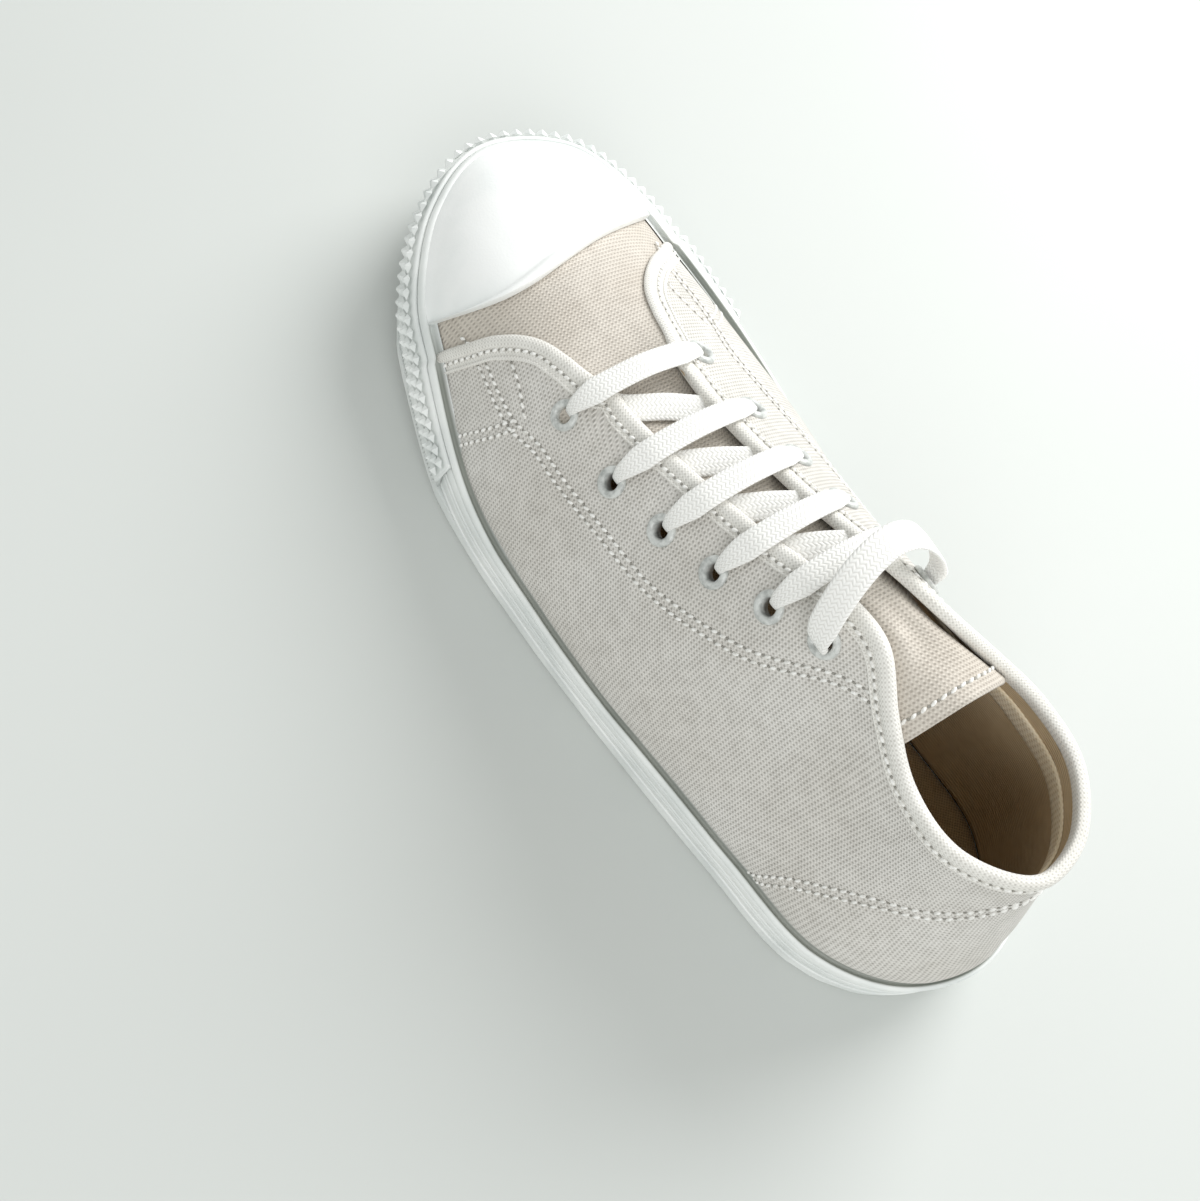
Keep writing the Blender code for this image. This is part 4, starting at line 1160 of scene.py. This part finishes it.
def edge_crossing(start, end, side):
    """u at which the straight line between two eyelets, seen from above, crosses the edge."""
    grid = np.linspace(4.0, QUARTER_FRONT, 500)
    u = grid if side > 0 else TURN - grid
    edge = skin(u, np.ones_like(u))
    span = end - start
    return u[np.argmin(np.abs(span[0] * (edge[:, 1] - start[1]) - span[1] * (edge[:, 0] - start[0])))]


def lace_bar(k, places):
    path, lie = [], []
    for side in (1, -1):
        u, v = places[(side, k)]
        edge = edge_crossing(skin(u, v), skin(*places[(-side, k)]), side)
        steps = [(u + (edge - u) * share, v + (1 - v) * share, out) for share, out in LACE_CLIMB]
        points = [skin(uu, vv, out) for uu, vv, out in steps]
        normals = [skin(uu, vv, 1.0) - skin(uu, vv) for uu, vv, _ in steps]
        path.append(points if side > 0 else points[::-1])
        lie.append(normals if side > 0 else normals[::-1])
    middle = (path[0][-1] + path[1][0]) / 2 + np.array([0.0, 0.0, 1.6])
    points = np.array(path[0] + [middle] + path[1])
    start, end = skin(*places[(1, k)])[:2], skin(*places[(-1, k)])[:2]
    straight = unit(end - start)
    points[:, :2] = start + ((points[:, :2] - start) @ straight)[:, None] * straight
    up = unit(np.array(lie[0] + [lie[0][-1] + lie[1][0]] + lie[1]))
    t = np.linspace(0, len(points) - 1, 8 * (len(points) - 1) + 1)
    line, up = open_curve(points, t), open_curve(up, t)
    chord = unit(np.broadcast_to(points[-1] - points[0], line.shape))
    wide = unit(np.cross(up, chord))
    run = run_along(line)
    from_end = np.minimum(run, run[-1] - run)
    width = LACE_WIDTH * (0.42 + 0.58 * np.clip((from_end - 4.5) / 8.0, 0, 1) ** 0.8)
    return flat_lace(f"lace_crossing_{k + 1}", line, wide, LACE_COTTON, width)


def lace_below(k, places):
    """The slanting run under the bars, from one outer eyelet to the next inner one."""
    ends = []
    for side, number in ((1, k), (-1, k + 1)):
        here, there = skin(*places[(side, number)]), skin(*places[(-side, 2 * k + 1 - number)])
        u = edge_crossing(here, there, side)
        ends.append([skin(u, v, out) for v, out in LACE_UNDER])
    middle = (ends[0][1] + ends[1][1]) / 2 + np.array([0.0, 0.0, 1.0])
    points = np.array([ends[0][0], ends[0][1], middle, ends[1][1], ends[1][0]])
    line = open_curve(points, np.linspace(0, 4, 41))
    chord = unit(points[-1] - points[0])
    wide = unit(np.cross((0.0, 0.0, 1.0), np.broadcast_to(chord, line.shape)))
    return flat_lace(f"lace_slanting_{k + 1}", line, wide, LACE_COTTON, np.full(len(line), LACE_WIDTH))


LACE_PLACES = {(side, k): (u, v) for side, k, u, v in eyelet_places()}
for k in range(len(EYELETS) - 1):
    crossing = lace_bar(k, LACE_PLACES)
    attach(crossing, "root")
    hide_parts(f"lace_bar_{k + 1}")
for k in range(len(EYELETS) - 2):
    slanting = lace_below(k, LACE_PLACES)
    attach(slanting, "root")


# Seams: polyester thread in short lockstitches, in double rows over the quarters and the
# heel, and in one row along the edge band and the tongue's hem. Between each two stitches
# the needle's hole is drawn as a small flat dark blob: painted shade.
STITCH_SPACING, STITCH_LONG, STITCH_THICK = 2.7, 2.1, 1.0
HOLE_WIDE, HOLE_DEEP = 0.8, 0.3  # flat dark blobs of painted shade for the needle holes, between the stitches
STITCH_SLANT = 0.3  # turn of each stitch across its row, as the lockstitch leaves it
THREAD_WHITE, THREAD_SHADE = "#FAF9F6", "#DCDAD4"
# Grey of the shade painted in the needle holes.
HOLE_SHADE = "#98958E"


def stitch(tree, given):
    """One stitch: a short fat grain of thread."""
    grain = put(tree, "GeometryNodeMeshUVSphere", {"Segments": 8, "Rings": 5, "Radius": 0.5})
    return sized(tree, given, grain.outputs["Mesh"], (0.0, 0.0, STITCH_SLANT))


def polyester_thread():
    thread, tree, shader = finish_of("polyester_sewing_thread", 0.6, Sheen_Weight=0.3)
    twist = noise(tree, 900.0, 1.0)
    tree.links.new(shade_by(tree, twist, 0.3, 0.6, THREAD_SHADE, THREAD_WHITE),
                   shader.inputs["Base Color"])
    relief(tree, shader, twist, 0.1)
    return thread


def seam_rows(route, gap):
    """Lines and outward directions of one or two rows of stitches over both quarters."""
    lines, facings = [], []
    for side in (1, -1):
        for shift in ((-gap / 2, gap / 2) if gap else (0.0,)):
            fine = open_curve(route, np.linspace(0, len(route) - 1, 12 * (len(route) - 1) + 1))
            moved = fine + inward(fine) * shift
            u = (moved[:, 0] * side) % TURN
            out = canvas_out(u, moved[:, 1]) - SEAM_DIP + 0.2
            lines.append(skin(u, moved[:, 1], out))
            facings.append(skin(u, moved[:, 1], 1.0) - skin(u, moved[:, 1]))
    return lines, facings


def half_step_on(line, facing):
    """The line without half a stitch at either end, so that its steps fall between the stitches."""
    run = run_along(line)
    trim = run[-1] / max(1, int(run[-1] / STITCH_SPACING)) / 2
    keep = (run > trim) & (run < run[-1] - trim)
    at = np.concatenate([[trim], run[keep], [run[-1] - trim]])
    return (np.stack([np.interp(at, run, line[:, k]) for k in range(3)], 1),
            np.stack([np.interp(at, run, facing[:, k]) for k in range(3)], 1))


def all_seams():
    lines, facings = [], []
    for route, gap in SEAM_ROUTES:
        rows = seam_rows(route, gap)
        lines += rows[0]
        facings += rows[1]
    inset = moved_in(BORDER_LEVELS, np.full((BORDER_LEVELS.shape[1], 1), 3.8))[:, 0]
    lines.append(skin(inset[:, 0] % TURN, inset[:, 1], 1.1))
    facings.append(skin(inset[:, 0] % TURN, inset[:, 1], 1.0) - skin(inset[:, 0] % TURN, inset[:, 1]))
    run = run_along(TONGUE_FACE[:, TONGUE_MIDDLE])
    row = int(np.argmin(np.abs(run - (run[-1] - HEM + 0.6))))
    lines.append(TONGUE_FACE[row, 2:-2] + TONGUE_UP[row, 2:-2] * 0.4)
    facings.append(TONGUE_UP[row, 2:-2])
    stitches = repeated("seam_stitches", STITCHES, lines, facings,
                        (STITCH_SPACING, STITCH_LONG, STITCH_THICK, STITCH_THICK), polyester_thread())
    between = [half_step_on(line, facing) for line, facing in zip(lines, facings)]
    # Needle holes: flat dark blobs between the stitches, painted shade.
    painted_hole_shade, _, shader = finish_of("needle_hole_shadow", 1.0)
    shader.inputs["Base Color"].default_value = to_linear(HOLE_SHADE)
    holes = repeated("needle_hole_shade_marks", STITCHES, [b[0] for b in between], [b[1] for b in between],
                     (STITCH_SPACING, HOLE_WIDE, HOLE_WIDE, HOLE_DEEP), painted_hole_shade)
    return stitches, holes


STITCHES = repeat_tree("stitch_rows", stitch)
for seam_piece in all_seams():
    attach(seam_piece, "root")


# Floor and light: plain pale paper, a soft light over the inner side, a weak one over the heel
# and a pale sky. Whites may reach full brightness, as in the photograph.
FLOOR_PALE, FLOOR_DIM = "#CFD2CF", "#CBCECB"
FLOOR_HALF = 1.6
SKY, SKY_STRENGTH = "#F1F4F2", 0.66

floor_mesh = bpy.data.meshes.new("floor")
floor_mesh.from_pydata([(-FLOOR_HALF, -FLOOR_HALF, 0.0), (FLOOR_HALF, -FLOOR_HALF, 0.0),
                        (FLOOR_HALF, FLOOR_HALF, 0.0), (-FLOOR_HALF, FLOOR_HALF, 0.0)],
                       [], [(0, 1, 2, 3)])
floor = bpy.data.objects.new("floor", floor_mesh)
paper, paper_tree, paper_shader = finish_of("matt_backdrop_paper", 0.8)
paper_tree.links.new(shade_by(paper_tree, noise(paper_tree, 3.0, 2.0), 0.3, 0.7, FLOOR_DIM, FLOOR_PALE),
                     paper_shader.inputs["Base Color"])
floor_mesh.materials.append(paper)
bpy.context.scene.collection.objects.link(floor)

world = bpy.data.worlds.new("studio_sky")
world.use_nodes = True
world.node_tree.nodes["Background"].inputs["Color"].default_value = to_linear(SKY)
world.node_tree.nodes["Background"].inputs["Strength"].default_value = SKY_STRENGTH
bpy.context.scene.world = world


def softbox(name, at, aim, size, watts):
    lamp = bpy.data.lights.new(name, "AREA")
    lamp.shape = "DISK"
    lamp.size = size
    lamp.energy = watts
    holder = bpy.data.objects.new(name, lamp)
    holder.location = at
    holder.rotation_euler = (Vector(aim) - Vector(at)).to_track_quat("-Z", "Y").to_euler()
    bpy.context.scene.collection.objects.link(holder)


softbox("key_softbox", at=(0.12, -0.78, 0.62), aim=(0.0, 0.0, 0.05), size=0.8, watts=10.5)
softbox("fill_softbox", at=(-0.7, 0.5, 0.9), aim=(0.0, 0.0, 0.03), size=0.9, watts=5.0)
bpy.context.scene.view_settings.view_transform = "Standard"
